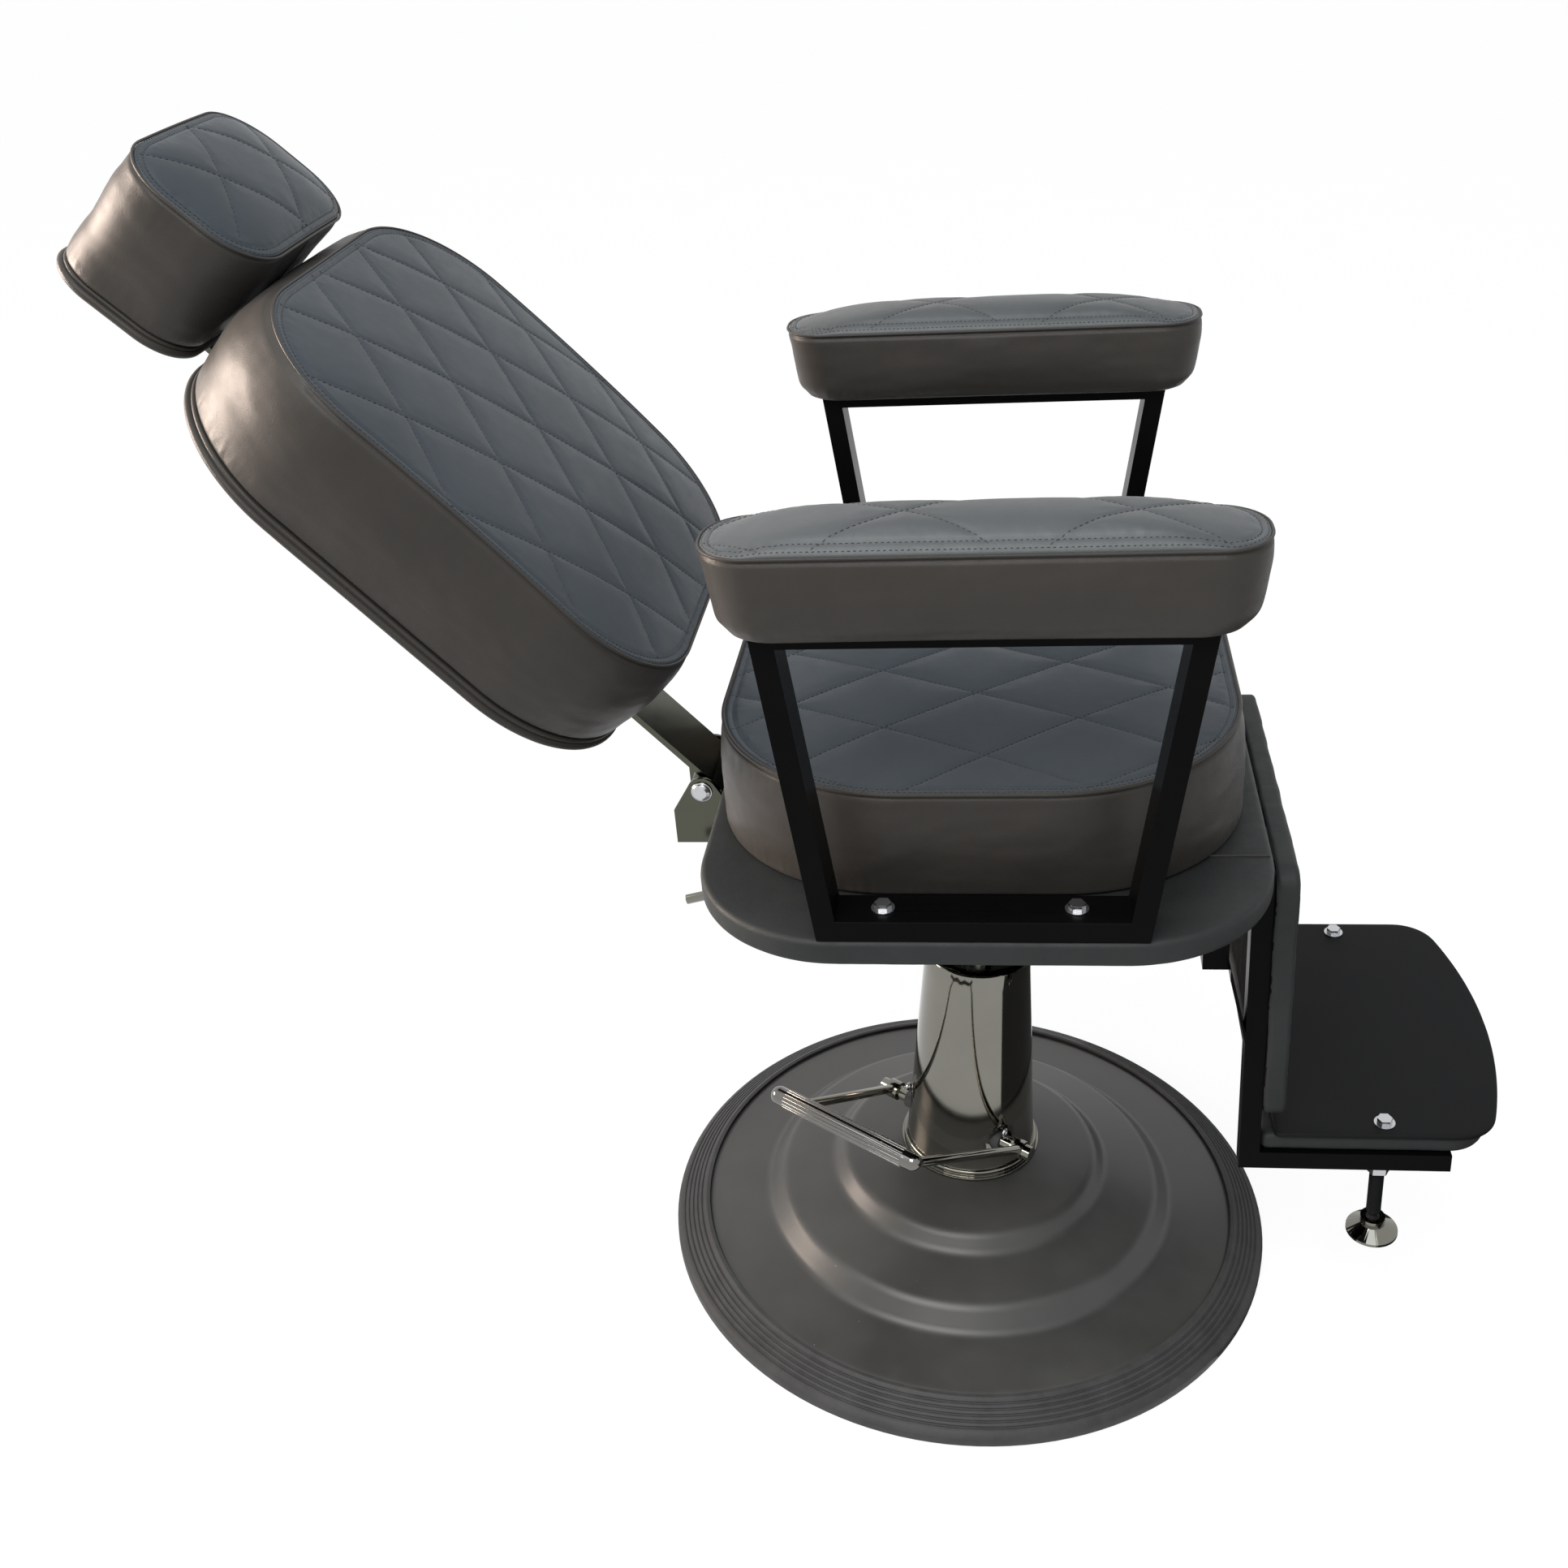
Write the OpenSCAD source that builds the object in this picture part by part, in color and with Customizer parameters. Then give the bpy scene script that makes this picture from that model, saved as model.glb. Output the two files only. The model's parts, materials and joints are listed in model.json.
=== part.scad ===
// Barber chair with a hydraulic pump, a reclining back and a padded headrest.
// Millimetres. +X is the way the sitter faces, +Y is the sitter's left, +Z is up.
// The origin is the centre of the round base, on the floor.

/* [Chair] */
// Height of the seat board's top over the floor, on the ram's axis
seat_h = 612.4; // [590:0.1:630]
// Nose-up tilt of the seat on the ram, in degrees
seat_tilt = 3.38; // [0:0.01:5]

/* [Round base] */
// Outer radius of the rubber floor ring
base_r = 340; // [330:1:360]
// Width of the rubber floor ring outside the painted dome
ring_w = 38; // [35:1:45]
// Height of the dome where it meets the pump
dome_h = 112; // [100:1:118]
// Thickness of the dome's sheet
dome_sheet = 3; // [2:0.5:5]
// Thickness of the weight plate under the dome
plate_t = 8; // [5:1:12]
// Radius of the grooves in the rubber ring
groove_r = 1.3; // [0.8:0.1:1.6]

/* [Pump] */
// Radius of the chrome cover at its bottom rim
cover_low_r = 72; // [70:1:76]
// Radius of the chrome cover at its top rim
cover_top_r = 57; // [54:1:62]
// Height of the cover's top rim over the floor
cover_top = 376; // [366:1:380]
// Thickness of the cover's sheet
cover_sheet = 2; // [1.5:0.5:3]
// Radius of the pump casting
pump_r = 48; // [46:1:50]
// Radius of the ram
ram_r = 18; // [17:0.5:19]
// Height of the ram's lower end over the floor
ram_low = 316.4; // [310:0.1:326]

/* [Pedal] */
// Height of the pedal's shaft over the floor
pedal_z = 158; // [154:1:162]
// Distance of the pedal's shaft from the ram's axis
pedal_off = 33; // [31:1:35]
// Turn of the pedal's shaft about the ram's axis, in degrees
pedal_turn = -31.2; // [-40:0.1:-20]
// Radius of the pedal's shaft
pedal_shaft_r = 8; // [7:0.5:9]
// Half of the length of the pedal's shaft
pedal_shaft_half = 99; // [96:1:104]
// Distance of each arm's collar from the middle of the shaft
collar_off = 83; // [82:1:86]
// Reach of the foot bar from the shaft, level
bar_reach = 212; // [200:1:225]
// Rise of the foot bar over the shaft
bar_rise = 135; // [120:1:140]
// Half of the length of the foot bar
bar_half = 92; // [85:1:98]
// Radius of the foot bar
bar_r = 9.5; // [8:0.5:11]
// Radius of the pedal's arms
arm_r = 5; // [4:0.5:6]

/* [Seat] */
// Distance of the board's front and rear edges from its middle
board_half_x = 265.5; // [260:0.5:270]
// Half of the width of the board
board_half_y = 330; // [328:1:340]
// Thickness of the board
board_t = 25; // [20:1:28]
// Corner radius of the board
board_corner = 130; // [100:1:150]
// Half of the length of the cushion at its seam
seat_half_x = 251; // [240:1:254]
// Half of the width of the cushion at its seam
seat_half_y = 259; // [250:1:262]
// Corner radius of the cushion at its seam
seat_corner = 186; // [150:1:200]
// Height of the cushion's seam over the board
seat_seam = 106.5; // [95:0.5:108]
// Crown of the cushion over its seam
seat_crown = 11; // [6:1:12]

/* [Armrests] */
// Distance of the frames' outer faces from the chair's middle
frame_out = 327.6; // [327:0.1:329]
// Width of the frame's tube, across the chair
frame_w = 43; // [40:1:45]
// Thickness of the frame's tube, in the frame's plane
frame_t = 20; // [16:1:24]
// Height of the frame's top over the board
frame_h = 296; // [280:1:300]
// Half of the frame's length at the board
frame_low_half = 144; // [138:1:150]
// Half of the frame's length at its top
frame_top_half = 187.5; // [180:0.5:195]
// Half of the length of a pad
pad_half_x = 219; // [212:1:222]
// Half of the width of a pad
pad_half_y = 46; // [42:1:48]
// Height of a pad, from its bottom to its seam
pad_seam = 74; // [65:1:76]
// Crown of a pad over its seam
pad_crown = 14; // [8:1:16]

/* [Back] */
// Angle of the back over the seat board, in degrees
back_angle = 47.5; // [46:0.1:49]
// Distance of the back's hinge behind the chair's middle
hinge_x = 290; // [288:1:294]
// Depth of the back's hinge under the board's top
hinge_z = 13; // [11:1:15]
// Distance of the back cushion's middle from the hinge
back_reach = 374.4; // [370:0.1:378]
// Height of the back cushion's seam over the hinge, square to the back
back_seam = 147.3; // [146:0.1:149]
// Height of the back bar's front face over the hinge, square to the back
bar_front = 13.3; // [12.5:0.1:14.5]
// Half of the length of the back cushion at its seam
back_half_x = 241; // [236:1:243]
// Half of the width of the back cushion at its seam
back_half_y = 229; // [224:1:231]
// Corner radius of the back cushion at its seam
back_corner = 112; // [100:1:130]
// Crown of the back cushion over its seam
back_crown = 11; // [6:1:14]
// Width of the flat bar that carries the back
back_bar_w = 80; // [76:1:82]
// Thickness of the flat bar that carries the back
back_bar_t = 6; // [5:0.5:7]

/* [Headrest] */
// Gap between the seams of the back and the headrest
head_gap = 27.1; // [25.1:0.5:33.1]
// Height of the headrest's seam over the hinge, square to the back
head_seam = 138.3; // [137:0.1:140]
// Lean of the headrest against the back, in degrees
head_lean = 3.6; // [3:0.1:4.2]
// Thickness of the headrest, from its seam to the face of its rear board
head_depth = 130; // [127:1:131]
// Half of the length of the headrest at its seam
head_half_x = 73.5; // [70:0.5:75]
// Half of the width of the headrest at its seam
head_half_y = 124; // [118:1:128]
// Corner radius of the headrest at its seam
head_corner = 52; // [40:1:60]
// Crown of the headrest over its seam
head_crown = 13; // [8:1:15]

/* [Footrest] */
// Distance of the calf panel's back from the chair's middle
calf_x = 270.2; // [270:0.1:272]
// Thickness of the calf panel
calf_t = 22; // [18:1:24]
// Half of the width of the calf panel
calf_half_y = 189.5; // [185:0.5:192]
// Depth of the calf panel's top edge under the board's top
calf_top = 22; // [20:1:26]
// Depth of the calf panel's bottom edge under the board's top
calf_low = 312; // [300:1:314]
// Side of the footrest's square tube
tube = 20; // [18:1:22]
// Distance of the footrest tubes' outer faces from the chair's middle
tube_out = 182; // [178:1:184]
// Depth of the footrest tubes' underside below the board's top
foot_low = 378; // [372:1:382]
// Distance of the footrest tubes' front ends from the chair's middle
tube_front = 458; // [450:1:470]
// Thickness of the padded footrest board
foot_board_t = 20; // [16:1:21]
// Thickness of the footrest's plate
foot_plate_t = 5; // [3:0.5:6]
// Distance of the plate's front edge from the chair's middle
foot_plate_front = 525; // [515:1:530]
// Half of the width of the plate
foot_plate_half = 183; // [178:1:186]
// Length of the levelling feet's rods below the tubes
foot_rod_l = 77; // [70:1:82]
// Radius of the levelling feet's discs
foot_disc_r = 26; // [22:1:28]

/* [Hidden] */
$fn = 64;

// Clearances
cut = 2;
soft_gap = 0.3;
run_gap = 0.06;
seat_gap = 0.3;

// Colours
vinyl = "#2b2e30";
black_paint = "#141416";
chrome = "#c9ccce";
steel = "#8d8f88";
zinc = "#b9bcbe";
rubber = "#1c1c1c";

// Dome: places as shares of the way from its hole to its rim and of its height, from the rubber to the pump
dome_shares = [
    [1, 0.286], [0.703, 0.375], [0.619, 0.575], [0.377, 0.715], [0.312, 0.87], [0.032, 1]
];
dome_r = base_r - ring_w;
skirt_gap = 4;
skirt_r = dome_r + skirt_gap;
skirt_drop = 7;
dome_hole_r = cover_low_r - skirt_gap;
ring_edge = 17;
ring_round = 4;
ring_lip_t = 3;
groove_count = 5;

// Pump
foot_r = 92;
foot_t = 12;
pump_bolt_pcd = 150;
pump_bolt_r = 6;
pump_inset = 24;
pump_top = cover_top - pump_inset;
bore_gap = 2;
bore_r = ram_r + bore_gap;
gland_t = 16;
gland_lip = 3;
cover_lift = 6;
cover_low = dome_h + cover_lift;
rim_r = 2.5;
flange_r = 78;
flange_t = 3;
cover_cap_t = 3;
cap_hole_gap = 2;
ram_inset = 46;
ram_top = seat_h - ram_inset;
bore_floor = 138;
seal_t = 8;
seal_gap = 0.15;
spigot_taper = 2;

// Pedal
bush_r = 12;
bush_in = 22;
cover_hole_gap = 0.5;
pin_r = 1.6;
pin_up = 13;
pin_low = 11;
pin_off = 64.5;
collar_r = 10.5;
collar_half = 7;
left_arm_share = -0.61;
right_arm_share = 0.93;
bar_ribs = 16;
bar_rib_r = 0.7;

// Seat carrier
saddle_r = 32;
saddle_depth = 78;
saddle_plate_t = 8;
saddle_half = 76;
rail = 30;
rail_in = 48.3;
rail_rear = -236;
leg = 25;
leg_front = 233;
leg_out = 165;
leg_drop = 146;
brace_w = 12;

// Back hinge and its bracket
hinge_bolt_r = 6;
hinge_head_r = 9.5;
hinge_head_t = 5;
sleeve_r = 13;
ear_t = 4;
ear_out = 48;
ear_head_r = 15;
ear_rear = 31;
ear_shoulder = 22;
ear_drop = 61;
ear_front = 140;
web_t = 4;
bar_tail = 14;
bar_up = 314;
horn_l = 46;
horn_turn = 7.5;
horn_r = 12;
horn_half = 9.5;
horn_t = 6;
horn_in = 8;
horn_pin_r = 4;
eye_play = 4.6;

// Gas spring between the seat and the horn of the back bar
gas_front_x = -92;
gas_front_z = -52;
gas_r = 11;
gas_rod_r = 5;
gas_eye_r = 9;
gas_eye_half = 6.5;
gas_pin_r = 4;
gas_tail_eye_r = 13;
gas_nose = 46;
gas_tail = 20;
gas_chamber_r = 8.5;
gas_neck = 10;
gas_rod_in = 60;
gas_floor = 8;
clevis_t = 4;

// Recline lever
lever_y = 112;
lever_x = -71.4;
lever_z = -43;
lever_end_x = -303;
lever_end_z = -102;
lever_r = 5;
lever_shaft_r = 6;
lever_finger_l = 14;
lever_finger_t = 6;
lever_ear_t = 6;
lever_hub_r = 10;
lever_hub_half = 8;
button_r = 3;
button_l = 5.5;

// Seat cushion foot
seat_low_x = 264;
seat_low_y = 260;
seat_low_corner = 178;
seat_mid_x = 1;
seat_low_mid_x = 7.5;
seat_bulge = 3;

// Armrests
frame_mid_low = 2;
frame_mid_top = 8;
post_t = 20;
frame_top_t = 13;
arm_bolt_x = 84;
pad_mid_x = 10;
pad_mid_y = 306;
pad_corner = 42;
pad_bulge = 3;

// Bolts
bolt_r = 4;
hex_share = 1.9;
head_share = 1.3;
washer_share = 2.6;
washer_t = 1.6;

// Back and headrest boards
back_board_t = 14;
back_low_x = 252;
back_low_y = 227;
back_low_corner = 138;
back_lip = 3;
back_bulge = 5;
screw_r = 3;
screw_head_r = 6;
screw_head_t = 2.6;
guide_w = 64;
guide_deep = 24;
guide_l = 85;
guide_end = 6.4;
guide_high = guide_end - back_reach - back_half_x;
guide_low = guide_high + guide_l;
head_reach = back_reach + back_half_x + head_gap + head_half_x;
post_w = 40;
post_thick = 6;
post_back = -5.7;
post_end = 50;
post_low = guide_low + post_end;
post_play = 0.3;
head_board_t = 12;
head_low_x = 72;
head_low_y = 118;
head_low_corner = 50;
head_low_mid_x = -6;
head_bulge = 5;
head_lip = 3;
head_plate_t = 5;
head_plate_half = 38;

// Footrest
foot_board_low = foot_low - tube;
foot_board_rear = 270.5;
foot_board_in = 10;
foot_board_front = foot_plate_front - foot_board_in;
foot_bolt_x = 393.5;
foot_bolt_y = 164.5;
foot_bolt_in = 5;
plate_rear = 284;
plate_corner = 25;
calf_corner = 22;
foot_x = 390;
foot_y = 168;
foot_rod_r = 7;
foot_nut_r = 13;
foot_nut_t = 10;
foot_ball_r = 8;
foot_neck_l = 12;
foot_neck_r = 4.5;
foot_socket_gap = 0.3;
foot_disc_t = 15;
foot_disc_rim = 3;

// Quilting: row pitch and column pitch of the crossings, a crossing's place, turn and depth
seat_quilt = [180.6, 113.5, -99, -35, 4.6, 5];
back_quilt = [167, 112, 6, -3, -4.2, 5];
head_quilt = [129, 112, 64, 0, -4, 4];
pad_quilt = [182, 110, 122, 0, 0, 4];

// Frames of reference
module seat_frame() {
    translate([0, 0, seat_h]) rotate([0, -seat_tilt, 0]) children();
}

module back_frame() {
    seat_frame() translate([-hinge_x, 0, -hinge_z]) rotate([0, back_angle, 0]) children();
}

module head_frame() {
    back_frame() translate([-head_reach, 0, head_seam]) rotate([0, -head_lean, 0]) children();
}

module pedal_frame() {
    rotate([0, 0, pedal_turn]) translate([0, -pedal_off, pedal_z]) children();
}

// A bar of round section between two points
module rod_between(from, to, r) {
    run = to - from;
    length = norm(run);
    turn = atan2(run.y, run.x);
    fall = acos(run.z / length);
    translate(from) rotate([0, fall, turn]) cylinder(r = r, h = length);
}

// A flat slab with round corners, from z = 0 up
module round_slab(half_x, half_y, corner, thick) {
    in_x = half_x - corner;
    in_y = half_y - corner;
    translate([-half_x, -in_y, 0]) cube([2 * half_x, 2 * in_y, thick]);
    translate([-in_x, -half_y, 0]) cube([2 * in_x, 2 * half_y, thick]);
    for (sx = [-1, 1], sy = [-1, 1]) {
        translate([sx * in_x, sy * in_y, 0]) cylinder(r = corner, h = thick, $fn = 96);
    }
}

// An outline drawn in x and z, made thick from y_low up
module side_plate(y_low, thick) {
    translate([0, y_low + thick, 0]) rotate([90, 0, 0]) linear_extrude(thick) children();
}

// A hex bolt standing on z = 0, with its washer, and its shank below
module hex_bolt(r, shank) {
    cylinder(r = r * washer_share, h = washer_t);
    translate([0, 0, washer_t]) cylinder(r = r * hex_share, h = r * head_share, $fn = 6);
    translate([0, 0, -shank]) cylinder(r = r, h = shank + washer_t);
}

// A pan-head screw standing on z = 0, with its shank below
module pan_screw(r, head_r, head_t, shank) {
    dome_rise = head_t * 0.4;
    cylinder(r = head_r, h = head_t - dome_rise);
    translate([0, 0, head_t - dome_rise]) cylinder(r1 = head_r, r2 = head_r * 0.6, h = dome_rise);
    translate([0, 0, -shank]) cylinder(r = r, h = shank + dome_rise);
}

// Cushion outline: a point of the unit square's edge, moved to a rectangle with round corners
function round_edge(q, half_x, half_y, corner) =
    let (
        ax = abs(q.x) * half_x,
        ay = abs(q.y) * half_y,
        dx = ax - half_x + corner,
        dy = ay - half_y + corner,
        pull = (dx > 0 && dy > 0) ? corner / norm([dx, dy]) : 1,
        px = pull == 1 ? ax : half_x - corner + dx * pull,
        py = pull == 1 ? ay : half_y - corner + dy * pull
    )
    [sign(q.x) * px, sign(q.y) * py];

// Height share of the quilted face: 0 on a stitch line and 1 in the middle of a diamond
function pillow(x, y, quilt) =
    let (
        turn = quilt[4],
        u = (x - quilt[2]) * cos(turn) + (y - quilt[3]) * sin(turn),
        v = (y - quilt[3]) * cos(turn) - (x - quilt[2]) * sin(turn),
        a = sin(180 * (u / quilt[0] + v / quilt[1])),
        b = sin(180 * (u / quilt[0] - v / quilt[1]))
    )
    pow(abs(a * b), 0.5);

function mix(a, b, t) = a + (b - a) * t;

// Places round the edge of a grid of nx by ny cells, counter-clockwise from the lowest corner
function grid_edge(nx, ny) = concat(
    [for (i = [0 : nx - 1]) [i, 0]],
    [for (j = [0 : ny - 1]) [nx, j]],
    [for (i = [nx : -1 : 1]) [i, ny]],
    [for (j = [ny : -1 : 1]) [0, j]]
);

// A stuffed cushion from z = 0 up to its seam, with a crowned and quilted face and swelling sides.
// top and low hold half length, half width, corner radius and the place of the middle along x.
module cushion(top, low, seam, crown, bulge, quilt, nx, ny, rings) {
    edge = grid_edge(nx, ny);
    around = len(edge);
    face_count = (nx + 1) * (ny + 1);
    face_points = [
        for (j = [0 : ny], i = [0 : nx])
            let (
                a = 2 * i / nx - 1,
                b = 2 * j / ny - 1,
                rho = max(abs(a), abs(b)),
                q = rho == 0 ? [0, 0] : [a, b] / rho,
                p = round_edge(q, top[0], top[1], top[2]) * rho,
                fade = min(1, (1 - rho) * 5),
                swell = crown * (1 - pow(rho, 4)),
                dip = quilt[5] * (1 - pillow(p.x + top[3], p.y, quilt)) * fade
            )
            [p.x + top[3], p.y, seam + swell - dip]
    ];
    side_points = [
        for (k = [1 : rings], e = edge)
            let (
                t = k / rings,
                a = 2 * e[0] / nx - 1,
                b = 2 * e[1] / ny - 1,
                out = bulge * sin(180 * t),
                p = round_edge(
                    [a, b],
                    mix(top[0], low[0], t) + out,
                    mix(top[1], low[1], t) + out,
                    mix(top[2], low[2], t) + out
                )
            )
            [p.x + mix(top[3], low[3], t), p.y, seam * (1 - t)]
    ];
    low_start = face_count + (rings - 1) * around;
    points = concat(face_points, side_points, [[low[3], 0, 0]]);
    row = nx + 1;
    cells = [for (j = [0 : ny - 1], i = [0 : nx - 1]) j * row + i];
    sides = [for (k = [0 : rings - 1], p = [0 : around - 1]) [k, p, (p + 1) % around]];
    function rim(k, p) = k == 0 ? edge[p][1] * row + edge[p][0] : face_count + (k - 1) * around + p;
    faces = concat(
        [for (c = cells) [c, c + row, c + row + 1]],
        [for (c = cells) [c, c + row + 1, c + 1]],
        [for (s = sides) [rim(s[0], s[1]), rim(s[0], s[2]), rim(s[0] + 1, s[2])]],
        [for (s = sides) [rim(s[0], s[1]), rim(s[0] + 1, s[2]), rim(s[0] + 1, s[1])]],
        [for (p = [0 : around - 1]) [low_start + p, low_start + (p + 1) % around, len(points) - 1]]
    );
    polyhedron(points = points, faces = faces);
}

// Corner cutting, which rounds an open chain of points
function cut_corners(points) = concat(
    [points[0]],
    [for (i = [0 : len(points) - 2], t = [0.25, 0.75]) points[i] * (1 - t) + points[i + 1] * t],
    [points[len(points) - 1]]
);

function dome_chain() =
    cut_corners(cut_corners([for (s = dome_shares) [mix(dome_hole_r, dome_r, s[0]), s[1] * dome_h]]));

module base_dome() {
    chain = dome_chain();
    edge_z = chain[0].y - skirt_drop;
    color(black_paint) {
        rotate_extrude($fn = 180) {
            polygon(concat(
                [[skirt_r, plate_t], [skirt_r, edge_z]],
                chain,
                [[dome_hole_r, dome_h], [dome_hole_r, dome_h - dome_sheet]],
                [for (i = [len(chain) - 1 : -1 : 0]) chain[i] - [0, dome_sheet]],
                [[skirt_r - dome_sheet, edge_z - dome_sheet], [skirt_r - dome_sheet, plate_t]]
            ));
        }
    }
}

module base_rubber_ring() {
    top_z = dome_shares[0][1] * dome_h;
    in_r = skirt_r + seat_gap;
    color(rubber) {
        rotate_extrude($fn = 180) {
            difference() {
                polygon([
                    [in_r, 0],
                    [base_r - ring_round, 0],
                    [base_r, ring_round],
                    [base_r, ring_edge - ring_round],
                    [base_r - ring_round, ring_edge],
                    [skirt_r, top_z + ring_lip_t],
                    [dome_r, top_z + ring_lip_t],
                    [dome_r, top_z + seat_gap],
                    [in_r, top_z - skirt_drop + seat_gap]
                ]);
                for (k = [1 : groove_count]) {
                    share = k / (groove_count + 1);
                    translate([
                        mix(skirt_r, base_r - ring_round, share),
                        mix(top_z + ring_lip_t, ring_edge, share)
                    ]) circle(r = groove_r, $fn = 24);
                }
            }
        }
    }
}

module base_plate() {
    color(black_paint) cylinder(r = skirt_r, h = plate_t, $fn = 180);
}

module pump_bolt_places() {
    for (k = [0 : 3]) {
        rotate([0, 0, pedal_turn + 45 + 90 * k]) translate([pump_bolt_pcd / 2, 0, 0]) children();
    }
}

module pump_body() {
    color("#3a3c3e") {
        difference() {
            union() {
                translate([0, 0, plate_t]) cylinder(r = foot_r, h = foot_t, $fn = 96);
                translate([0, 0, plate_t + foot_t]) {
                    cylinder(r1 = pump_r + foot_t / 2, r2 = pump_r, h = foot_t, $fn = 96);
                }
                translate([0, 0, plate_t]) cylinder(r = pump_r, h = pump_top - plate_t, $fn = 96);
            }
            translate([0, 0, bore_floor]) cylinder(r = bore_r, h = pump_top);
            pedal_frame() rotate([0, 90, 0]) {
                cylinder(r = pedal_shaft_r + run_gap, h = 4 * pump_r, center = true);
                for (s = [0, 1]) mirror([0, 0, s]) {
                    translate([0, 0, bush_in]) cylinder(r = bush_r + run_gap, h = 2 * pump_r);
                }
            }
            pump_bolt_places() cylinder(r = pump_bolt_r + run_gap, h = pump_top / 2);
        }
    }
}

module pump_gland() {
    color("#9a8550") {
        difference() {
            union() {
                translate([0, 0, pump_top]) cylinder(r = pump_r - gland_lip, h = gland_t);
                translate([0, 0, pump_top - gland_t / 2]) cylinder(r = bore_r - run_gap, h = gland_t);
            }
            translate([0, 0, pump_top - gland_t]) cylinder(r = ram_r + run_gap, h = 3 * gland_t);
        }
    }
}

module pump_bolts() {
    color(zinc) {
        pump_bolt_places() translate([0, 0, plate_t + foot_t]) hex_bolt(pump_bolt_r, foot_t);
    }
}

module pump_cover() {
    color(chrome) {
        difference() {
            rotate_extrude($fn = 128) {
                polygon([
                    [cover_low_r + rim_r, cover_low],
                    [cover_low_r + rim_r, cover_low + rim_r],
                    [cover_low_r, cover_low + 2 * rim_r],
                    [cover_top_r, cover_top - rim_r],
                    [cover_top_r - rim_r, cover_top],
                    [ram_r + cap_hole_gap, cover_top + cover_cap_t],
                    [ram_r + cap_hole_gap, cover_top],
                    [cover_top_r - rim_r - cover_sheet, cover_top - cover_sheet],
                    [cover_top_r - cover_sheet, cover_top - cover_sheet - rim_r],
                    [cover_low_r - cover_sheet, cover_low + 2 * rim_r],
                    [cover_low_r - cover_sheet, cover_low]
                ]);
                translate([cover_low_r + rim_r / 2, cover_low + rim_r]) circle(r = rim_r, $fn = 24);
                polygon([
                    [cover_low_r - cover_sheet, dome_h + seat_gap],
                    [flange_r, dome_h + seat_gap],
                    [flange_r, dome_h + flange_t],
                    [cover_low_r + rim_r, dome_h + flange_t],
                    [cover_low_r + rim_r, cover_low],
                    [cover_low_r - cover_sheet, cover_low]
                ]);
            }
            pedal_frame() rotate([0, 90, 0]) {
                cylinder(r = bush_r + cover_hole_gap, h = 4 * cover_low_r, center = true);
            }
        }
    }
}

module pedal_bushes() {
    length = pin_off - pin_r - seat_gap - bush_in - seat_gap;
    color(rubber) {
        pedal_frame() for (s = [-1, 1]) {
            translate([s * (bush_in + seat_gap), 0, 0]) rotate([0, 90 * s, 0]) difference() {
                cylinder(r = bush_r, h = length);
                translate([0, 0, -cut]) cylinder(r = pedal_shaft_r + run_gap, h = length + 2 * cut);
            }
        }
    }
}

module pedal_shaft() {
    color(chrome) {
        pedal_frame() rotate([0, 90, 0]) difference() {
            cylinder(r = pedal_shaft_r, h = 2 * pedal_shaft_half, center = true);
            for (s = [-1, 1]) {
                translate([0, 0, s * pin_off]) rotate([0, 90, 0]) {
                    cylinder(r = pin_r + run_gap, h = 4 * pedal_shaft_r, center = true);
                }
            }
        }
    }
}

module pedal_arms() {
    arm_shares = [[-1, left_arm_share], [1, right_arm_share]];
    color(chrome) {
        pedal_frame() for (s = arm_shares) {
            difference() {
                union() {
                    translate([s[0] * (collar_off + collar_half), 0, 0]) rotate([0, -90 * s[0], 0]) {
                        cylinder(r = collar_r, h = 2 * collar_half);
                    }
                    rod_between(
                        [s[0] * (collar_off + arm_r / 2), 0, 0],
                        [s[1] * bar_half, -bar_reach, bar_rise],
                        arm_r
                    );
                }
                rotate([0, 90, 0]) cylinder(r = pedal_shaft_r + run_gap, h = 4 * collar_off, center = true);
                translate([0, -bar_reach, bar_rise]) rotate([0, 90, 0]) {
                    cylinder(r = bar_r + bar_rib_r + run_gap, h = 4 * bar_half, center = true);
                }
            }
        }
    }
}

module pedal_bar() {
    color("#4a4c4e") {
        pedal_frame() translate([0, -bar_reach, bar_rise]) rotate([0, 90, 0]) {
            cylinder(r = bar_r, h = 2 * (bar_half - bar_r), center = true);
            for (s = [-1, 1]) translate([0, 0, s * (bar_half - bar_r)]) sphere(r = bar_r, $fn = 48);
            for (k = [0 : bar_ribs - 1]) rotate([0, 0, 360 * k / bar_ribs]) translate([bar_r, 0, 0]) {
                cylinder(r = bar_rib_r, h = 2 * (bar_half - 2 * bar_r), center = true, $fn = 16);
            }
        }
    }
}

module split_pins() {
    color(zinc) {
        pedal_frame() for (s = [-1, 1]) {
            translate([s * pin_off, 0, -pin_low]) {
                cylinder(r = pin_r, h = pin_low + pin_up - 2 * pin_r, $fn = 24);
            }
            translate([s * pin_off, 0, pin_up]) rotate([0, 90, 0]) rotate_extrude($fn = 32) {
                translate([2 * pin_r, 0]) circle(r = pin_r, $fn = 16);
            }
        }
    }
}

module ram() {
    color(chrome) {
        translate([0, 0, ram_low]) cylinder(r = ram_r, h = ram_top - spigot_taper - ram_low);
        translate([0, 0, ram_top - spigot_taper]) {
            cylinder(r1 = ram_r, r2 = ram_r - spigot_taper, h = spigot_taper);
        }
        translate([0, 0, ram_low - 2 * seal_t]) cylinder(r = ram_r - 2 * spigot_taper, h = 2 * seal_t);
        translate([0, 0, ram_low - 3 * seal_t]) cylinder(r = ram_r, h = seal_t);
    }
}

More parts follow.
